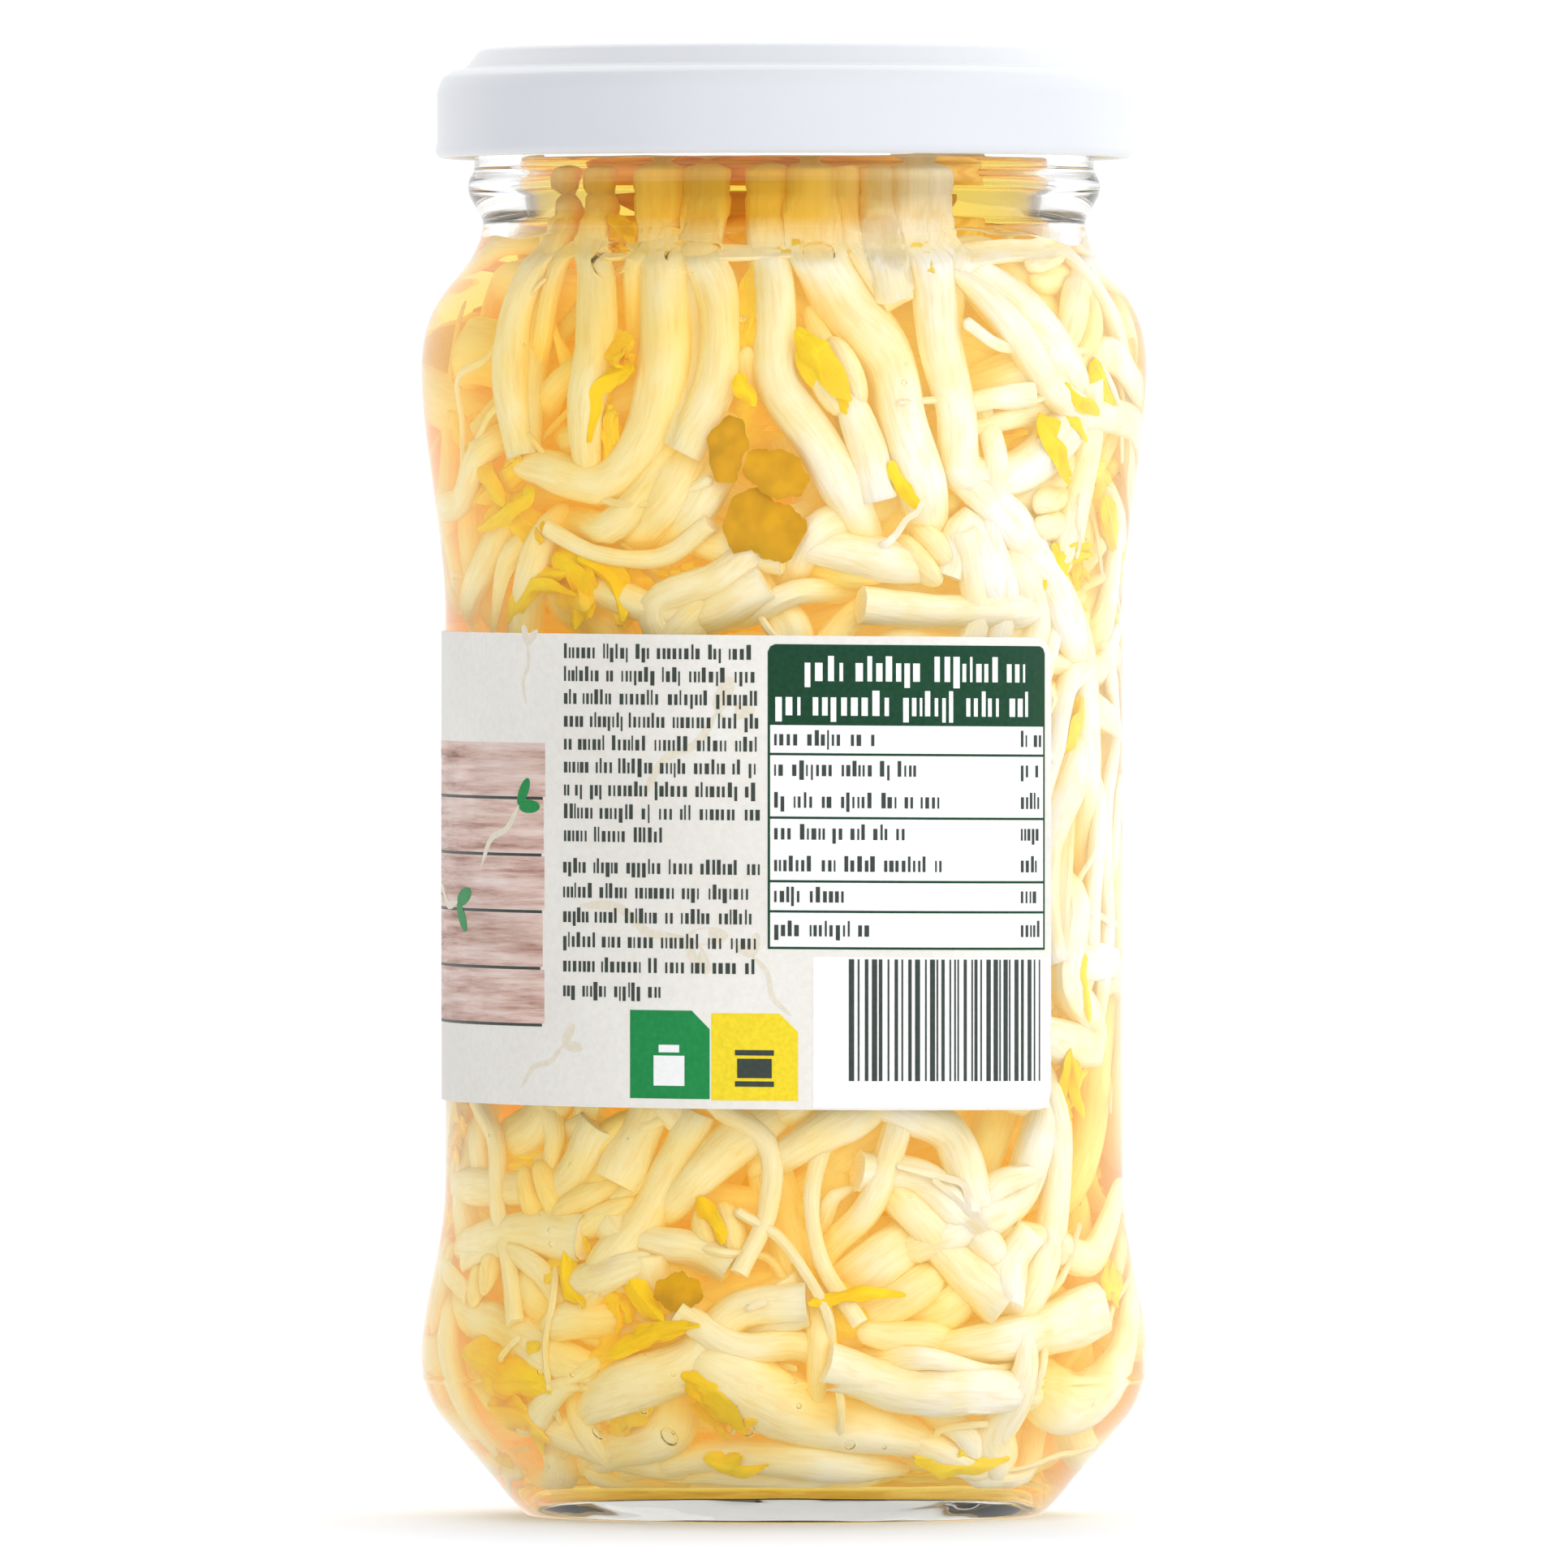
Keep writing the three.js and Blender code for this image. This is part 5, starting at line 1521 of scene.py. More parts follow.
def seam_ridge(points):
    """The same wall with the mould seam above the heel as a fine ridge."""
    dense = []
    for a, b in zip(points, points[1:]):
        dense.append(a)
        if 11.2 < a[1] < 14.5 and a[0] > 30 and b[1] > a[1]:
            steps = max(1, int((b[1] - a[1]) / 0.2))
            for i in range(1, steps):
                t = i / steps
                dense.append((a[0] + (b[0] - a[0]) * t, a[1] + (b[1] - a[1]) * t))
    dense.append(points[-1])
    return [
        (r + SEAM_SIZE * math.exp(-(((z - SEAM_HEIGHT) / SEAM_WIDTH) ** 2)), z) for r, z in dense
    ]


class SPROUTS_OT_glass(bpy.types.Operator):
    """Turn the glass jar, with its threads"""

    bl_idname = "sprouts.glass"
    bl_label = "Glass jar"

    def execute(self, context):
        jar = context.scene.sprout_jar
        outer = rounded(wall_points(OUTER_WALL, 16, 8), 0.5)
        inner = rounded(FINE_INNER[::-1], 0.4)
        piece = turned("clear_glass_jar", seam_ridge(outer) + inner)
        unite(piece, [thread_segment(i) for i in range(THREADS)])
        smooth(piece, 40)
        finish_piece(piece, glass_material(jar), "jar", "glass", "glass_jar")
        piece.data.materials.append(glass_material(jar, "wet_glass", WET_MIRROR))
        for face in piece.data.polygons:
            x, y, z = (c / MM for c in face.center)
            if 3 < z < AIR_LINE - 1 and math.hypot(x, y) < wall_at(z) + 0.4:
                face.material_index = 1
        return {"FINISHED"}


class SPROUTS_OT_brine(bpy.types.Operator):
    """Pour the brine, with a meniscus at the glass"""

    bl_idname = "sprouts.brine"
    bl_label = "Brine"

    def execute(self, context):
        jar = context.scene.sprout_jar
        level = jar.brine_level / MM
        profile = [(0, FINE_INNER[0][1] - OVERLAP)]
        for r, z in FINE_INNER[1:]:
            if z < AIR_LINE:
                profile.append((r + OVERLAP, z - (OVERLAP if z < 5.5 else 0)))
        column = MOUTH_RADIUS - AIR_GAP
        wall = wall_at(AIR_LINE)
        profile += [
            (wall + OVERLAP, AIR_LINE + 0.1),
            (wall - 0.1, AIR_LINE + 0.35),
            (column + 0.3, AIR_LINE + 0.55),
            (column, AIR_LINE + 1.0),
            (column, AIR_LINE + 3.0),
            (column, level - 0.5),
            (column - 0.2, level - 0.1),
            (column - 0.8, level),
            (column * 0.5, level),
            (0, level),
        ]
        piece = turned("clear_brine", profile)
        for vertex in piece.data.vertices:
            lap_at_neck(vertex)
        smooth(piece, 60)
        finish_piece(piece, brine_material(jar), "jar", "brine", "brine")
        # The cloudy core whose painted glow fills the gaps between the sprouts.
        cloud = turned("cloudy_brine", cloud_profile(level), 64)
        smooth(cloud, 60)
        finish_piece(cloud, cloud_material(), "jar", "brine")
        return {"FINISHED"}


def cloud_profile(level):
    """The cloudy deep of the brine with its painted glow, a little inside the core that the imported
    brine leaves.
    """
    low, high = 6.0, level - 1.6
    heights = (6.6, 20, 40, 60, 80, CORE_SHOULDER - 4, 104, 110, 116, 122, level - 2.2)
    side = [(core_radius(z) + (3 if z > 100 else 0) - 3.0, z) for z in heights]
    return [(0, low), *side, (0, high)]


def lap_at_neck(vertex):
    """Moves the line where the brine leaves the glass of the neck up and down, as lapping left it."""
    x, y, z = (c / MM for c in vertex.co)
    depth = math.hypot(x, y)
    rise = min(1, max(0, (z - AIR_LINE + 3) / 3)) * min(1, max(0, (AIR_LINE + 4 - z) / 3))
    if rise <= 0 or depth < 20:
        return
    turn = math.atan2(x, -y)
    lap = 0.5 * math.sin(3 * turn + 0.8) + 0.4 * math.sin(7 * turn + 2.0) + 0.25 * math.sin(13 * turn)
    here = z + lap * rise
    wall = wall_at(here) + OVERLAP
    scale = (wall if z <= AIR_LINE + 0.2 else min(depth, wall)) / depth
    vertex.co = (vertex.co.x * scale, vertex.co.y * scale, here * MM)


class SPROUTS_OT_lid(bpy.types.Operator):
    """Press the twist-off lid, with four lugs"""

    bl_idname = "sprouts.lid"
    bl_label = "Lid"

    def execute(self, context):
        jar = context.scene.sprout_jar
        piece = turned("white_twist_lid", rounded(lid_profile(), 0.35), 160)
        for vertex in piece.data.vertices:
            press_lug(vertex)
        unite(piece, [lug(i) for i in range(THREADS)])
        smooth(piece, 40)
        finish_piece(piece, lid_material(jar), "closure", "lid_paint", "lid")
        return {"FINISHED"}


def lid_profile():
    """The pressed sheet from the axis inside, down round the curl and back up outside."""
    r, top, low, sheet = LID_RADIUS, LID_TOP, LID_BOTTOM, LID_SHEET
    inside = r - sheet
    inner = [
        (0, top - 0.5),
        (25.6, top - 0.5),
        (26.3, top),
        (28.2, top),
        (29.6, top - 2),
        (31, top - 2.1),
        (31.9, top - 2.8),
    ]
    curl = [(31.5, low + 1.3), (31.2, low + 0.6), (31.6, low), (r - 0.2, low), (r + 0.2, low + 0.6)]
    outer = [(r, low + 1.6), (r, top - 4), (32.1, top - 2.7), (31.1, top - 2.1), (30, top - 2)]
    button = [(26.4, top), (25.7, top - 0.5), (24.9, top - 0.62), (12, top - 0.5), (0, top - 0.5)]
    return [
        *((x, z - sheet) for x, z in inner),
        (inside, top - 4),
        (inside, low + 1.3),
        *curl,
        *outer,
        (28.7, top - 0.25),
        (28.2, top),
        *button,
    ]


def press_lug(vertex):
    """Draws the skirt in a little above each lug, where the curl was pressed."""
    x, y, z = (c / MM for c in vertex.co)
    if z > LID_BOTTOM + 3 or math.hypot(x, y) < 31:
        return
    azimuth = math.degrees(math.atan2(x, -y))
    for i in range(THREADS):
        away = (azimuth - LUG_START - i * 360 / THREADS + 180) % 360 - 180
        press = math.exp(-((away / 8) ** 2)) * max(0, 1 - (z - LID_BOTTOM) / 3)
        scale = 1 - 0.35 * press / math.hypot(x, y)
        vertex.co.x *= scale
        vertex.co.y *= scale


def lug(index):
    """A lug pressed inwards from the curl, deepest at its middle."""
    middle = LUG_START + index * 360 / THREADS

    def place(u, v, w):
        reach = 1.9 * math.sin(math.pi * (0.15 + 0.7 * u))
        radius = 31.75 if v < 0.5 else 31.75 - reach
        return polar(radius, middle + LUG_ARC * (u - 0.5), LID_BOTTOM + 0.05 + LUG_HEIGHT * w)

    return shaped_box(f"lug_{index + 1}", place, 12)


class SPROUTS_OT_liner(bpy.types.Operator):
    """Flow the sealing compound into the lid"""

    bl_idname = "sprouts.liner"
    bl_label = "Lid liner"

    def execute(self, context):
        top = LID_TOP - 0.2 - 2.1 - LID_SHEET
        section = [
            (26.2, top),
            (26.2, top - 0.7),
            (27.5, RIM_HEIGHT + 0.2),
            (29.4, RIM_HEIGHT + 0.2),
            (30.9, top - 0.5),
            (30.9, top),
            (26.2, top),
        ]
        piece = turned("sealing_ring", section, 96)
        smooth(piece, 40)
        finish_piece(piece, liner_material(), "closure", "sealing_compound", "lid_gasket")
        return {"FINISHED"}


def settled_strands():
    """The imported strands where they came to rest."""
    strands = all_strands()
    net = Net(strands)
    net.settle(ROUNDS, in_ring)
    net.give_back()
    return strands


# How deep the filling strands start, as shares of the radius inside the glass.
LAYERS = (0.9, 0.72, 0.84, 0.9, 0.8, 0.66)
GOLDEN_ANGLE, GOLDEN_SHARE = 137.508, 0.618034


def filling_strands(strands, count):
    """More strands in the gaps at the glass and behind them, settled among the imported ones."""
    draw = random_stream(SEED + 90)
    placed = np.concatenate([s["points"] for s in strands])
    extra = []
    for i in range(count):
        turn = i * GOLDEN_ANGLE
        height = 8 + (i * GOLDEN_SHARE % 1) * 104
        wall = glass_radius(height)
        deep = LAYERS[i % len(LAYERS)] * wall
        outer = deep > 0.88 * wall
        roots = [polar(deep, turn + 9 * k, height + 5 * (k % 3 - 1)) for k in range(-2, 3)]
        strand = roomiest(draw, -1 - i, roots, placed, deep * (0.94 if outer else 0.84))
        strand["radius"] *= (0.45 + 0.4 * next(draw)) if outer else (0.75 + 0.25 * next(draw))
        extra.append(strand)
        placed = np.concatenate([placed, strand["points"]])
    fixed = [dict(s, ease=0.0) for s in strands]
    net = Net(fixed + extra)
    net.settle(60, in_jar)
    net.give_back()
    return extra


def add_threads(heap, count, tone):
    """Fine loose roots that wander between the sprouts close to the glass."""
    random = np.random.default_rng(77)
    for _ in range(count):
        height = random.uniform(8, 112)
        turn = random.uniform(0, math.tau)
        climb = random.uniform(-1.2, 1.2)
        way = random.choice([-1, 1])
        marks = []
        for _ in range(random.integers(5, 9)):
            wall = wall_at(height)
            depth = wall - random.uniform(0.5, 3.2)
            marks.append((depth * math.sin(turn), -depth * math.cos(turn), height))
            climb += random.normal() * 0.35
            turn += way * math.cos(climb) * 4.2 / depth
            height = min(max(height + math.sin(climb) * 4.2, 6), 116)
        line, _ = spaced_curve(marks, 5 * len(marks))
        half = np.linspace(random.uniform(0.4, 0.62), 0.3, len(line))
        add_tube(heap, random, line, half, half, tone)


# Loose leaves at the glass: half width, fold and marks like those of the strands.
LOOSE_LEAVES = table("""
1.2 0.9 -14.9,107.6 -18.8,106 -19.3,100.8
1.5 0.6 -31,100.6 -29.5,98 -27.5,95
1.3 0.7 -24.6,96.4 -27,95 -29.8,92.8
2.0 0.5 -22.9,90.3 -20.5,87.5 -19.5,84.3
1.7 0.8 -20.5,90 -17.5,88 -16,84
1.7 0.3 1.3,110.9 3.6,107.4 6.3,103.4
0.9 0.5 -4.6,107 -3,104
1.1 0.6 27.4,106.3 29.5,101
1.1 0.6 28.6,92.8 27.2,86.6
1.2 0.9 -21.6,26 -21.8,22.5 -19.8,20
1.3 0.6 -16.4,25.6 -14.6,21.5 -11.8,18.6
1.1 0.8 -17.2,15.6 -13.5,17.6 -9.8,17.9
2.1 0.5 -31.4,15.4 -27.5,14.2 -23,12.6
1.8 0.6 -29,11.6 -26,10.4 -24,7.4
1.2 0.5 -10.4,14.2 -7.4,12.6 -4.2,9.6
0.7 0.4 2.4,20.4 7,21.4 12,21.2
1.2 0.5 -8,7.2 -4.6,6.2 -1.5,6.4
1.2 0.6 17.5,7.6 20.6,6.2
1.1 0.6 28.8,53.8 29.8,47.4
1.2 0.7 28,44 29.2,37.6
1.3 0.4 -18,122.8 -15.2,119.6
1.2 0.5 -27,84 -25,88 -21.5,88.6
1.0 0.5 10.5,99 13.5,94.5
1.0 0.5 -8.5,30.5 -6,26
""")


def add_loose_leaves(heap, tone):
    """The leaves of the table, and others like them round the rest of the jar."""
    random = np.random.default_rng(31)
    rows = [(half, fold, marks, 0.0) for ((half, fold, *marks),) in LOOSE_LEAVES]
    for i in range(34):
        half, fold, marks, _ = rows[random.integers(0, len(LOOSE_LEAVES))]
        shift = random.uniform(-8, 8)
        moved = [[right, min(max(height + shift, 7), 114)] for right, height in marks]
        rows.append((half, fold, moved, 105 + 4.5 * i))
    for half, fold, marks, turn in rows:
        places = []
        for right, height in marks:
            wall = wall_at(height)
            azimuth = math.degrees(seen_azimuth(right, wall + WALL)) + turn
            places.append(polar(wall - half * 0.35 - 0.4, azimuth, height))
        line, _ = spaced_curve(places, 18)
        shares = np.linspace(0, 1, 19)
        for k in range(2 if half > 1 else 1):
            bent = line + shares[:, None] ** 1.3 * random.normal(size=3) * 1.3 * k
            wide = half * (1 - 0.15 * k) * leaf_outline(shares)
            add_blade(heap, random, bent, wide, tone, (fold, 0.12, 0.18, 0.22))


INNER_PIECES = 8


class SPROUTS_OT_sprouts(bpy.types.Operator):
    """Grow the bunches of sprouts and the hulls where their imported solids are"""

    bl_idname = "sprouts.sprouts"
    bl_label = "Sprouts"

    def execute(self, context):
        fill = context.scene.sprout_fill
        flesh, skin = flesh_material(fill), hull_material(fill)
        strands = settled_strands()
        spacing = fill.ring_spacing / MM
        heaps = {}
        for i, strand in enumerate(strands):
            heap = heaps.setdefault(strand["bunch"], Heap())
            add_strand(heap, strand, i, spacing, fill.stem_sides, 0.6)
        for bunch, heap in sorted(heaps.items()):
            if bunch < BUNCHES:
                piece = heap.build(f"sprout_bunch_{bunch + 1:02d}")
                finish_piece(piece, flesh, "jar", "sprout_flesh", f"bean_sprouts_{bunch + 1:02d}")
            else:
                piece = heap.build(f"hull_skin_{bunch - BUNCHES + 1}")
                finish_piece(piece, skin, "jar", "hull_skin", f"seed_hull_{bunch - BUNCHES + 1}")
        extra = filling_strands(strands, fill.inner_strands)
        for g in range(INNER_PIECES):
            heap = Heap()
            for i, strand in enumerate(extra[g::INNER_PIECES]):
                add_strand(heap, strand, 500 + g * 100 + i, spacing * 1.6, 10, 0.0)
            if g == 0:
                add_threads(heap, 46, lambda share: (0.06, 0.3, 0.1 * share))
            if g == 1:
                add_loose_leaves(heap, lambda share, rim=0.0: (1.0, 0.5, 0.08 * rim))
            if heap.count:
                finish_piece(heap.build(f"inner_sprouts_{g + 1}"), flesh, "jar", "sprout_flesh")
        return {"FINISHED"}


# ---- Label ----

LABEL_RADIUS = WAIST_RADIUS + 0.1
INK = 0.03
GREEN, DARK, WHITE, TAB_GREEN, TAB_YELLOW, WOOD, BEIGE = range(7)
SUNK = PAPER - 0.1
STRIP_WIDTH = 1.6


def label_point(along, height, lift):
    """A point of the label, a little askew: its distance round from the front and its height."""
    azimuth = math.degrees(along / LABEL_RADIUS)
    return polar(LABEL_RADIUS + lift, azimuth, height - LABEL_SLOPE * along)


class Print:
    """Marks of ink on the label, each a thin bent slab with its own ink."""

    def __init__(self, random):
        self.random = random
        self.points, self.faces, self.inks = [], [], []

    def slab(self, rings, ink):
        """A closed slab through rings of points."""
        base, count, sides = len(self.points), len(rings), len(rings[0])
        end = base + (count - 1) * sides
        for ring in rings:
            self.points += ring
        self.faces += tube_faces(count, sides, base)
        self.faces += [tuple(range(base + sides - 1, base - 1, -1)), tuple(range(end, end + sides))]
        self.inks += [ink] * (sides * (count - 1) + 2)

    def outline(self, edge, ink, lift=INK):
        """A slab over a convex outline of (along, height) points, going round counter-clockwise."""
        depths = (SUNK, PAPER + lift)
        self.slab([[label_point(s, z, depth) for s, z in edge] for depth in depths], ink)

    def box(self, left, right, low, high, ink, lift=INK):
        """A rectangle, in strips narrow enough to follow the bend."""
        steps, top = max(1, math.ceil((right - left) / STRIP_WIDTH)), PAPER + lift
        corners = ((low, SUNK), (high, SUNK), (high, top), (low, top))
        places = [left + (right - left) * i / steps for i in range(steps + 1)]
        self.slab([[label_point(s, z, depth) for z, depth in corners] for s in places], ink)

    def frame(self, left, right, low, high, line, ink):
        self.box(left, right, high - line, high, ink)
        self.box(left, right, low, low + line, ink)
        self.box(left, left + line, low + line, high - line, ink)
        self.box(right - line, right, low + line, high - line, ink)

    def ribbon(self, marks, width, ink, lift):
        """A curved stroke of an even width, tapering at its ends."""
        line, _ = spaced_curve([(s, z, 0) for s, z in marks], max(6, 6 * len(marks)))
        line = line[:, :2]
        way = np.gradient(line, axis=0)
        way /= norms(way)[:, None]
        shares = np.linspace(0, 1, len(line))
        half = width / 2 * np.minimum(1, 0.25 + 5 * np.minimum(shares, 1 - shares))
        across = np.column_stack([-way[:, 1], way[:, 0]]) * half[:, None]
        below, above = line - across, line + across
        for i in range(len(line) - 1):
            self.outline([below[i], below[i + 1], above[i + 1], above[i]], ink, lift)

    def dummy_line(self, left, right, base, height, ink, lift=INK):
        """A line of dummy copy: rows of plain blocks of uneven width that stand for words."""
        at = left
        while at < right - height * 0.5:
            for _ in range(self.random.integers(2, 9)):
                wide = height * self.random.uniform(0.14, 0.42)
                if at + wide > right:
                    break
                tall = height * (1.38 if self.random.uniform() < 0.22 else 1.0)
                drop = height * (0.34 if self.random.uniform() < 0.1 else 0.0)
                self.box(at, at + wide, base - drop, base + tall, ink, lift)
                at += wide + height * self.random.uniform(0.16, 0.3)
            at += height * self.random.uniform(0.45, 0.7)

    def sprig(self, s, z, size, turn, leaf_ink, lift):
        """A plain sprig: a bent beige stem with a pair of oval leaves at its end."""
        c, n = math.cos(turn), math.sin(turn)

        def at(x, y):
            return (s + size * (c * x - n * y), z + size * (n * x + c * y))

        stem = [at(-1, -0.15), at(-0.45, 0.12), at(0.1, 0.05), at(0.6, 0.25)]
        self.ribbon(stem, size * 0.12, BEIGE, lift)
        for bend in (0.55, -0.5):
            cb, nb = math.cos(bend), math.sin(bend)
            x, y = 0.6 + 0.26 * cb, 0.25 + 0.3 * nb
            edge = []
            for i in range(14):
                a = math.tau * i / 14
                u, v = 0.28 * math.cos(a), 0.12 * math.sin(a)
                edge.append(at(x + u * cb - v * nb, y + u * nb + v * cb))
            self.outline(edge, leaf_ink, lift)

    def build(self, name, materials):
        piece = new_piece(name, self.points, self.faces)
        for material in materials:
            piece.data.materials.append(material)
        piece.data.polygons.foreach_set("material_index", self.inks)
        piece.data.update()
        return piece


def ink_material(name, colour, gloss=0.45, spread=0.05):
    """Printed ink: nearly even, with the faint mottle of print on paper."""
    dark = tuple(max(0, c * (1 - spread)) for c in colour)
    light = tuple(min(1, c * (1 + spread) + spread * 0.1) for c in colour)
    stops = (0.35, dark), (0.65, light)
    return mottled_material(name, 2200.0, 3.0, *stops, in_Roughness=gloss, in_IOR=INK_IOR)


def paper_material():
    nodes = new_material("label_paper")
    fibre = nodes.noise(1400.0, 5.0, in_Roughness=0.7)
    tint = nodes.ramp(nodes.noise(45.0, 2.0), (0.3, (0.76, 0.735, 0.68)), (0.7, (0.84, 0.82, 0.77)))
    speck = nodes.ramp(fibre, (0.3, (0.94, 0.93, 0.91)), (0.6, PLAIN))
    return nodes.coated(
        nodes.mix(1.0, tint, speck, "MULTIPLY"),
        in_Roughness=0.55,
        in_IOR=INK_IOR,
        in_Specular_IOR_Level=0.3,
        in_Normal=nodes.bump(fibre, 0.15, 0.0001),
    )


def plank_material():
    """Washed pink-brown boards with a dark grain, printed on the paper."""
    nodes = new_material("printed_boards")
    place, size = nodes.place(), (60.0, 60.0, 900.0)
    stretch = nodes.get("ShaderNodeMapping", "Vector", in_Vector=place, in_Scale=size)
    lines = nodes.ramp(
        nodes.noise(1.0, 6.0, stretch, in_Roughness=0.7),
        (0.28, (0.2, 0.08, 0.055)),
        (0.4, (0.52, 0.31, 0.25)),
        (0.54, (0.74, 0.55, 0.48)),
        (0.7, (0.84, 0.72, 0.67)),
    )
    pale = nodes.ramp(nodes.noise(120.0, 3.0), (0.35, (0.86, 0.84, 0.83)), (0.65, PLAIN))
    both = nodes.mix(1.0, lines, pale, "MULTIPLY")
    return nodes.coated(both, in_Roughness=0.5, in_IOR=INK_IOR)


# The rows of the table: top, bottom and how many lines of copy each holds.
TABLE_ROWS = [(74.4, 71.7, 1), (71.7, 65.8, 2), (65.8, 59.9, 2), (59.9, 57.1, 1), (57.1, 53.6, 1)]


def print_table(marks, left, right, top):
    """A table with a dark heading and ruled rows, all of it dummy copy."""
    line, corner = 0.22, 0.7
    head, low = TABLE_ROWS[0][0], TABLE_ROWS[-1][1]
    marks.box(left, right, head, top - corner, GREEN)
    marks.box(left + corner, right - corner, top - corner, top, GREEN)
    for way, side in ((1, left), (-1, right)):
        edge = [(side, top - corner), (side + way * 0.25, top - 0.2), (side + way * corner, top)]
        edge.append((side + way * corner, top - corner))
        marks.outline(edge if way < 0 else edge[::-1], GREEN)
    marks.dummy_line(left + 3.4, right - 2.4, top - 3.4, 1.7, WHITE, INK * 2)
    marks.dummy_line(left + 0.7, right - 0.6, top - 6.6, 1.7, WHITE, INK * 2)
    marks.box(left, left + line, low, head, GREEN)
    marks.box(right - line, right, low, head, GREEN)
    marks.box(left, right, low, low + line, GREEN)
    for z, _, _ in TABLE_ROWS[1:]:
        marks.box(left, right, z - line / 2, z + line / 2, GREEN)
    marks.box(left + line, right - line, low + line, head, WHITE, INK * 0.4)
    for high, floor, count in TABLE_ROWS:
        pitch = (high - floor) / count
        for k in range(count):
            base = high - pitch * (k + 1) + (pitch - 1.1) / 2
            reach = marks.random.uniform(7, 12) if count == 1 else marks.random.uniform(13, 19)
            marks.dummy_line(left + 0.6, left + reach, base, 1.05, DARK)
            marks.dummy_line(right - 3.2, right - 0.5, base, 1.1, DARK)


def print_copy(marks, left, right, top, pitch, lines):
    """A paragraph of dummy copy with a short last line."""
    for i in range(lines):
        end = right if i < lines - 1 else left + (right - left) * 0.55
        marks.dummy_line(left, end, top - pitch * (i + 1) + 0.45, 1.0, DARK)


def print_stripes(marks, left, right, low, high):
    """A block of plain upright stripes."""
    at = left
    while at < right:
        wide = 0.165 * marks.random.integers(1, 4)
        marks.box(at, min(at + wide, right), low, high, DARK, INK * 2)
        at += wide + 0.17 * marks.random.integers(1, 4)


# The blocks that draw a tab's motif: half width, bottom and top above the tab's foot.
POT = [(1.5, 1.2, 4.0), (1.0, 4.3, 5.0)]
TIN = [(1.8, 1.3, 1.8), (1.8, 4.2, 4.7), (1.6, 2.1, 3.9)]


def print_tab(marks, left, right, low, high, ink, motif, motif_ink):
    """A coloured tab with one corner cut off and a plain motif of blocks."""
    cut, strips = right - 1.7, 4
    for i in range(strips):
        a = left + (cut - left) * i / strips
        b = left + (cut - left) * (i + 1) / strips
        marks.box(a, b, low, high, ink)
    marks.outline([(cut, low), (right, low), (right, high - 1.7), (cut, high)], ink)
    middle = (left + right) / 2
    for half, foot, top in motif:
        marks.box(middle - half, middle + half, low + foot, low + top, motif_ink, INK * 2)


def print_boards(marks, left, right, low, high):
    """Boards of uneven length with dark gaps between them."""
    boards, gap = 5, 0.14
    tall = (high - low) / boards
    for i in range(boards):
        floor = low + tall * i
        end = right - marks.random.uniform(0.0, 0.5)
        marks.box(left, end, floor + gap, floor + tall - gap, WOOD)
        marks.box(left, end - 0.3, floor - gap, floor + gap, DARK, INK * 0.7)


class SPROUTS_OT_label(bpy.types.Operator):
    """Print the paper label and glue it round the waist"""

    bl_idname = "sprouts.label"
    bl_label = "Label"

    def execute(self, context):
        sheet = paper_sheet()
        marks = Print(np.random.default_rng(21))
        print_table(marks, -1.5, 27.3, 81.9)
        print_copy(marks, -22.0, -2.2, 82.1, 2.13, 9)
        print_copy(marks, -22.1, -2.2, 62.3, 2.3, 6)
        marks.box(2.7, 27.9, 38.9, 52.9, WHITE)
        print_stripes(marks, 6.0, 26.7, 41.4, 52.7)
        print_tab(marks, -14.7, -6.9, 39.6, 47.8, TAB_GREEN, POT, WHITE)
        print_tab(marks, -6.75, 1.3, 39.5, 47.6, TAB_YELLOW, TIN, DARK)
        print_boards(marks, -88, -24.2, 46.2, 72.6)
        for *place, leaf_ink in SPRIGS:
            marks.sprig(*place, leaf_ink, INK * 2)
        for place in WATERMARKS:
            marks.sprig(*place, BEIGE, INK * 0.3)
        print_copy(marks, -130, -96, 80.5, 2.2, 12)
        marks.frame(-131, -95, 42, 52, 0.25, GREEN)
        print_copy(marks, -129.5, -97, 51.4, 2.2, 4)
        inks = [
            ink_material("ink_dark_green", (0.006, 0.062, 0.026)),
            ink_material("ink_text", (0.045, 0.06, 0.05)),
            ink_material("ink_white", (0.88, 0.88, 0.87), 0.45, 0.02),
            ink_material("ink_leaf_green", (0.004, 0.26, 0.06)),
            ink_material("ink_yellow", (0.86, 0.66, 0.01)),
            plank_material(),
            ink_material("ink_beige", (0.74, 0.68, 0.55), 0.5, 0.04),
        ]
        finish_piece(marks.build("label_print", inks), None, "jar", "paper")
        finish_piece(sheet, paper_material(), "jar", "paper", "paper_label")
        return {"FINISHED"}


# Sprigs: place along the label, height, size and turn, and the ink of those in full colour.
SPRIGS = [
    (-30, 64, 5.2, 0.5, TAB_GREEN),
    (-44, 57, 6.5, -0.3, TAB_GREEN),
    (-60, 63, 7.0, 0.2, TAB_YELLOW),
    (-76, 56, 6.0, -0.5, TAB_GREEN),
]
WATERMARKS = [
    (-26.5, 79.5, 3.4, 1.3),
    (-8.5, 72, 6.5, 0.6),
    (-13.5, 55, 7.0, -0.5),
    (-24, 42.5, 4.2, 0.4),
    (-1.2, 51, 4.0, 1.9),
    (-100, 62, 9.0, 0.4),
    (-120, 50, 8.0, -0.6),
]


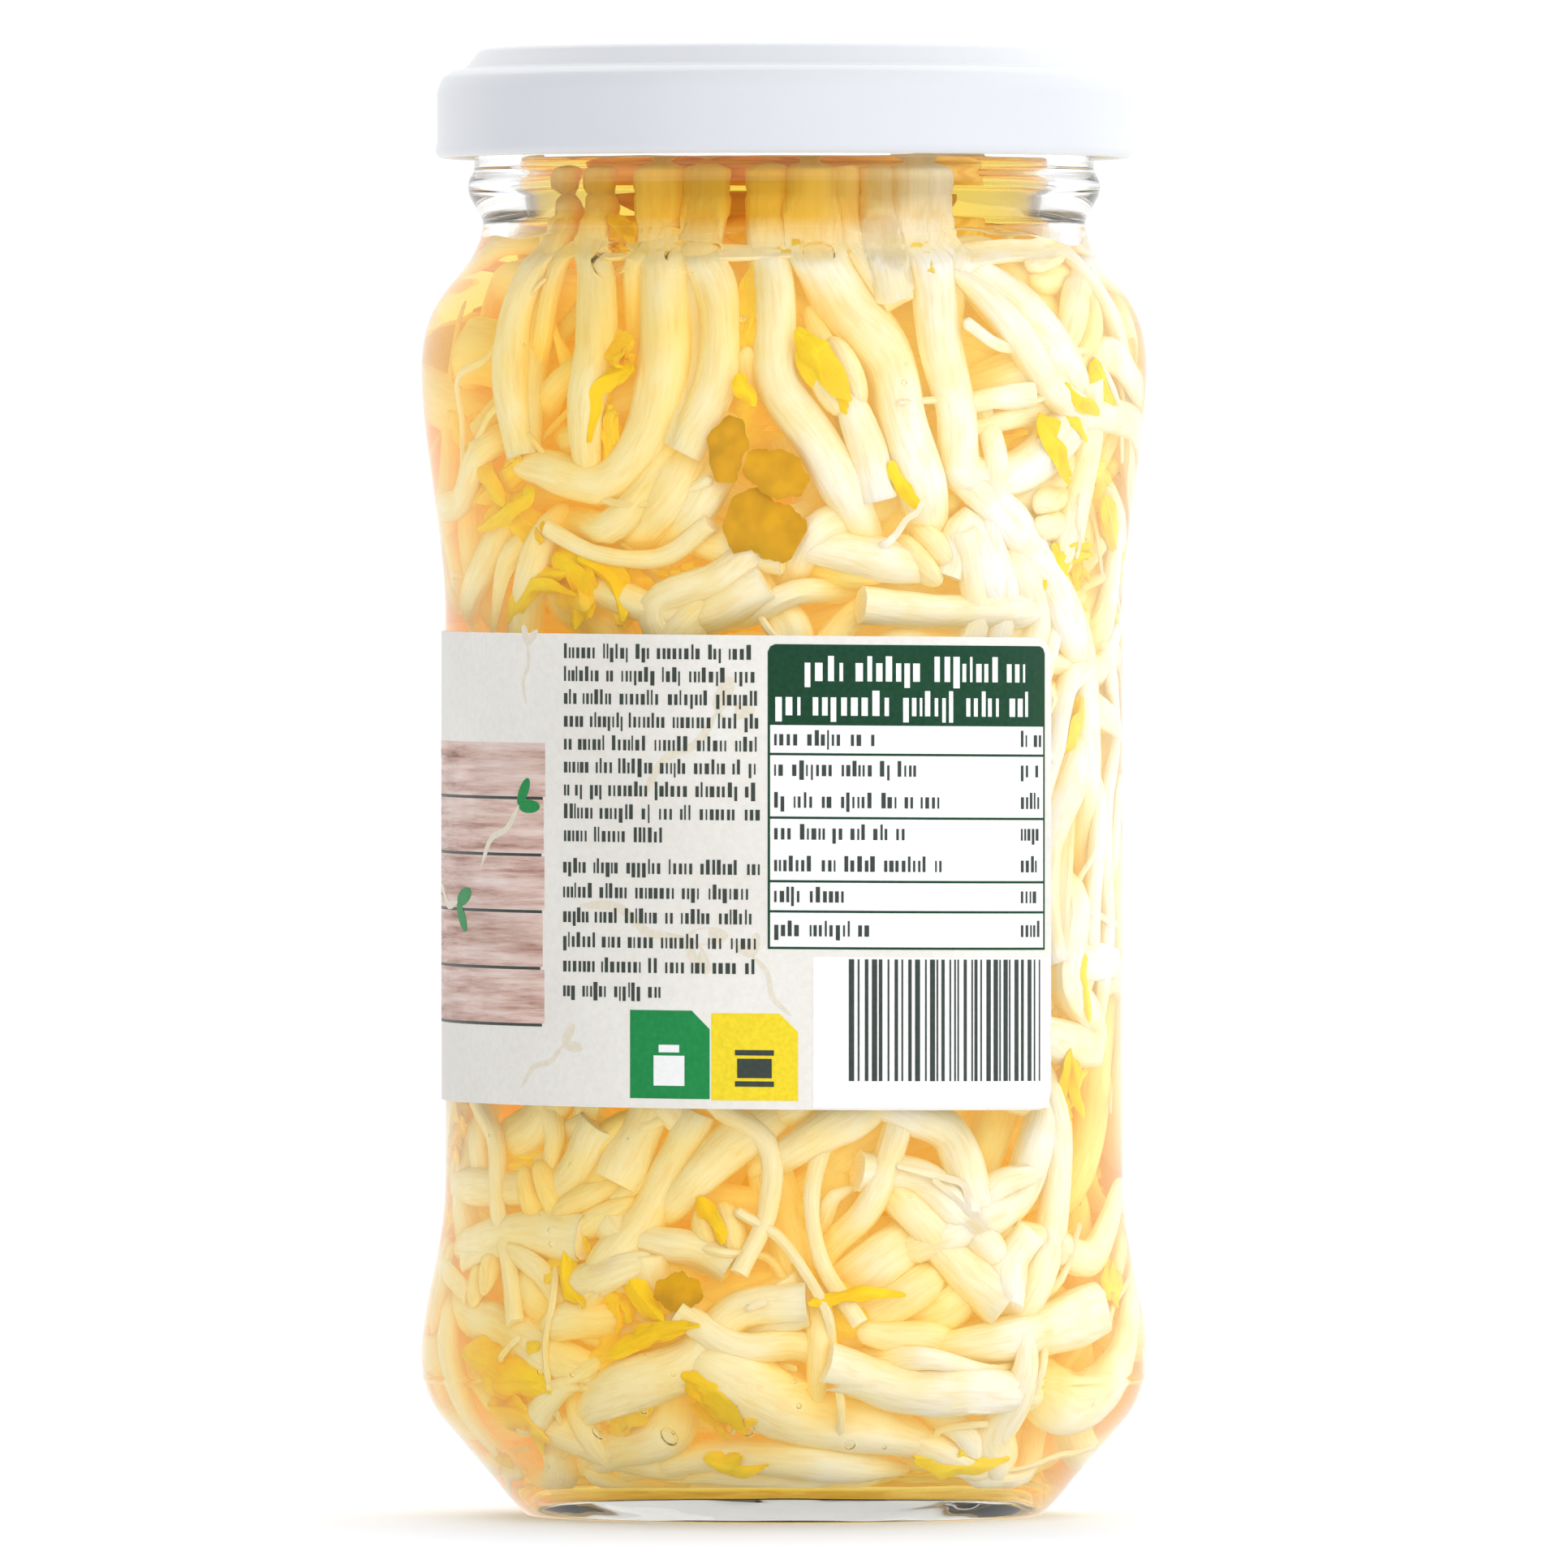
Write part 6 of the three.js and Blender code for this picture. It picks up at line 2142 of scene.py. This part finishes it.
def paper_sheet():
    """The sheet itself: a bent strip with rounded corners and two even faces."""
    columns, corner_columns = 180, 8
    left = math.radians(LABEL_RIGHT - LABEL_ARC) * LABEL_RADIUS
    arc = math.radians(LABEL_RIGHT) * LABEL_RADIUS - left
    corner = LABEL_CORNER / arc

    def place(u, v, w):
        column = round(u * columns)
        from_end = min(column, columns - column)
        if from_end <= corner_columns:
            share = corner * (from_end / corner_columns) ** 1.6
        else:
            even = (from_end - corner_columns) / (columns - 2 * corner_columns)
            share = corner + even * (1 - 2 * corner)
        u = share if column <= columns / 2 else 1 - share
        short = max(0, LABEL_CORNER - arc * min(u, 1 - u))
        cut = LABEL_CORNER - math.sqrt(LABEL_CORNER**2 - short**2)
        height = LABEL_BOTTOM + cut + (LABEL_HEIGHT - 2 * cut) * w
        return label_point(left + arc * u, height, PAPER if v < 0.5 else 0.0)

    return shaped_box("paper_wrap", place, columns)


# ---- Trapped air ----

# The heights between which small bubbles cling to the glass.
BUBBLE_BANDS = ((7, 16), (20, 37), (86, 116))
# Larger bubbles: offset to the right as seen from the front, height, half width, half height and depth.
BUBBLES = [
    (-9.5, 117.4, 3.1, 1.8, 1.5),
    (3.6, 117.6, 1.8, 1.4, 1.2),
    (-17.6, 116.7, 2.4, 1.7, 1.4),
    (-3.6, 9.8, 0.7, 0.8, 0.5),
    (-18.4, 9.3, 0.55, 0.6, 0.5),
    (-4.8, 11.8, 0.5, 0.5, 0.45),
    (-11.4, 9.0, 0.9, 0.9, 0.6),
    (-13.8, 11.2, 0.4, 0.4, 0.35),
    (6.5, 8.2, 0.6, 0.5, 0.4),
]


class SPROUTS_OT_bubbles(bpy.types.Operator):
    """Trap flat air bubbles against the glass"""

    bl_idname = "sprouts.bubbles"
    bl_label = "Trapped air"

    def execute(self, context):
        random = np.random.default_rng(5)
        rows = []
        for right, height, *sizes in BUBBLES:
            wall = wall_at(height)
            rows.append((seen_azimuth(right, wall + WALL), height, *sizes))
        for _ in range(60):
            size = random.uniform(0.12, 0.3)
            azimuth = random.uniform(-180, 180)
            height = random.choice([random.uniform(*band) for band in BUBBLE_BANDS])
            rows.append((math.radians(azimuth), height, size, size, size))
        deselect_all()
        balls = [bubble(random, *row) for row in rows]
        for ball in balls:
            ball.select_set(True)
        bpy.context.view_layer.objects.active = balls[0]
        bpy.ops.object.join()
        piece = rename(bpy.context.object, "trapped_air")
        pick(piece)
        bpy.ops.object.transform_apply(location=True, rotation=True, scale=True)
        face_out()
        bpy.ops.object.shade_smooth()
        finish_piece(piece, bubble_material(), "jar", "brine")
        return {"FINISHED"}


def bubble(random, turn, height, wide, tall, deep):
    """A bubble flat against the glass at an azimuth in radians; a wide one is a little dented."""
    big = wide > 1
    bpy.ops.mesh.primitive_uv_sphere_add(
        segments=64 if big else 12, ring_count=32 if big else 8, radius=1
    )
    ball = bpy.context.object
    wall = wall_at(height)
    phase = random.uniform(0, math.tau)
    for vertex in ball.data.vertices:
        x, y, z = vertex.co
        around = math.atan2(z, x)
        dent = 0.09 * math.sin(2 * around + phase) + 0.05 * math.sin(3 * around)
        swell = 1 + dent * big
        level = height + tall * z * swell
        depth = wall_at(level) - 0.1 - deep * (1 + y)
        azimuth = math.degrees(turn + wide * x * swell / wall)
        vertex.co = Vector(polar(depth, azimuth, level)) * MM
    return ball


# ---- Stage ----


def soft_sun(name, way, spread, strength):
    """A broad even light from one side, which leaves no spot of its own on the glass."""
    light = bpy.data.lights.new(name, "SUN")
    light.energy = strength
    light.angle = math.radians(spread)
    holder = bpy.data.objects.new(name, light)
    holder.rotation_euler = (-Vector(way)).to_track_quat("-Z", "Y").to_euler()
    holder.visible_glossy = holder.visible_transmission = False
    bpy.context.scene.collection.objects.link(holder)


def floor_material(white):
    cool = (white * 0.985, white, min(1, white * 1.04))
    stops = (0.3, shade(cool, 0.985)), (0.7, cool)
    return mottled_material(
        "pale_floor", 3.0, 2.0, *stops, in_Roughness=0.6, in_Specular_IOR_Level=0.2
    )


def studio_world():
    """White to the camera; the light itself is white behind the jar and grey at the camera's side."""
    world = bpy.data.worlds.new("studio")
    bpy.context.scene.world = world
    nodes = Nodes(world)
    depth = nodes.get("ShaderNodeSeparateXYZ", "Y", in_Vector=nodes.place("Generated"))
    white = (1.03, 1.03, 1.03)
    tint = nodes.ramp(
        nodes.spread(depth, 0.0, 1.0, -1.0, 1.0),
        (0.0, (0.1, 0.1, 0.102)),
        (0.35, (0.14, 0.141, 0.143)),
        (0.6, (0.5, 0.502, 0.505)),
        (0.8, white),
        (1.0, white),
    )
    plain = nodes.mix(nodes.get("ShaderNodeLightPath", "Is Camera Ray"), tint, white)
    back = nodes.get("ShaderNodeBackground", in_Strength=1.0, in_Color=plain)
    nodes.finish(back, "ShaderNodeOutputWorld")


class SPROUTS_OT_stage(bpy.types.Operator):
    """Lay the pale floor, set the soft lights and place the camera"""

    bl_idname = "sprouts.stage"
    bl_label = "Stage"

    def execute(self, context):
        stage = context.scene.sprout_stage
        deselect_all()
        bpy.ops.mesh.primitive_plane_add(size=24, location=(0, 0, 0))
        floor = rename(bpy.context.object, "floor")
        edit_all()
        bpy.ops.mesh.subdivide(number_cuts=7)
        bpy.ops.object.mode_set(mode="OBJECT")
        floor.data.materials.append(floor_material(stage.floor_white))
        floor.visible_glossy = False
        studio_world()
        soft_sun("over_top", (0.05, 0.62, 0.78), 75, 1.85)
        soft_sun("right_back", (0.95, 0.0, 0.25), 60, 1.0)
        soft_sun("front_fill", (0.25, -1.0, 0.35), 110, 2.75)
        camera = bpy.data.cameras.new("camera")
        camera.sensor_fit = "HORIZONTAL"
        camera.angle = 2 * math.atan(stage.picture_width / 2 / stage.camera_distance)
        camera.clip_start = 0.05
        camera.clip_end = 60
        holder = bpy.data.objects.new("camera", camera)
        holder.location = (0, -stage.camera_distance, stage.camera_height)
        aim = Vector((0, 0, stage.aim_height)) - holder.location
        holder.rotation_euler = aim.to_track_quat("-Z", "Y").to_euler()
        context.scene.collection.objects.link(holder)
        context.scene.camera = holder
        context.scene.view_settings.view_transform = "Standard"
        paths = context.scene.cycles
        paths.diffuse_bounces = 3
        paths.max_bounces = paths.transmission_bounces = 14
        paths.glossy_bounces = 6
        return {"FINISHED"}


class SPROUTS_PT_panel(bpy.types.Panel):
    """Lists the pieces of the jar"""

    bl_idname = "SPROUTS_PT_panel"
    bl_label = "Jar of bean sprouts"
    bl_space_type = "VIEW_3D"
    bl_region_type = "UI"
    bl_category = "Sprouts"

    def draw(self, context):
        layout, scene = self.layout, context.scene
        for group in (scene.sprout_jar, scene.sprout_fill, scene.sprout_stage):
            box = layout.box()
            for name in group.bl_rna.properties.keys():
                if name not in ("rna_type", "name"):
                    box.prop(group, name)
        for operator in MAKERS:
            layout.operator(operator.bl_idname)


MAKERS = (
    SPROUTS_OT_glass,
    SPROUTS_OT_brine,
    SPROUTS_OT_lid,
    SPROUTS_OT_liner,
    SPROUTS_OT_label,
    SPROUTS_OT_sprouts,
    SPROUTS_OT_bubbles,
    SPROUTS_OT_stage,
)
CLASSES = (JarSettings, SproutSettings, StageSettings, *MAKERS, SPROUTS_PT_panel)


def register():
    for item in CLASSES:
        bpy.utils.register_class(item)
    bpy.types.Scene.sprout_jar = bpy.props.PointerProperty(type=JarSettings)
    bpy.types.Scene.sprout_fill = bpy.props.PointerProperty(type=SproutSettings)
    bpy.types.Scene.sprout_stage = bpy.props.PointerProperty(type=StageSettings)


def unregister():
    del bpy.types.Scene.sprout_stage
    del bpy.types.Scene.sprout_fill
    del bpy.types.Scene.sprout_jar
    for item in reversed(CLASSES):
        bpy.utils.unregister_class(item)


def main():
    register()
    bpy.ops.sprouts.glass()
    bpy.ops.sprouts.brine()
    bpy.ops.sprouts.lid()
    bpy.ops.sprouts.liner()
    bpy.ops.sprouts.label()
    bpy.ops.sprouts.sprouts()
    bpy.ops.sprouts.bubbles()
    bpy.ops.sprouts.stage()
    deselect_all()


if __name__ == "__main__":
    main()
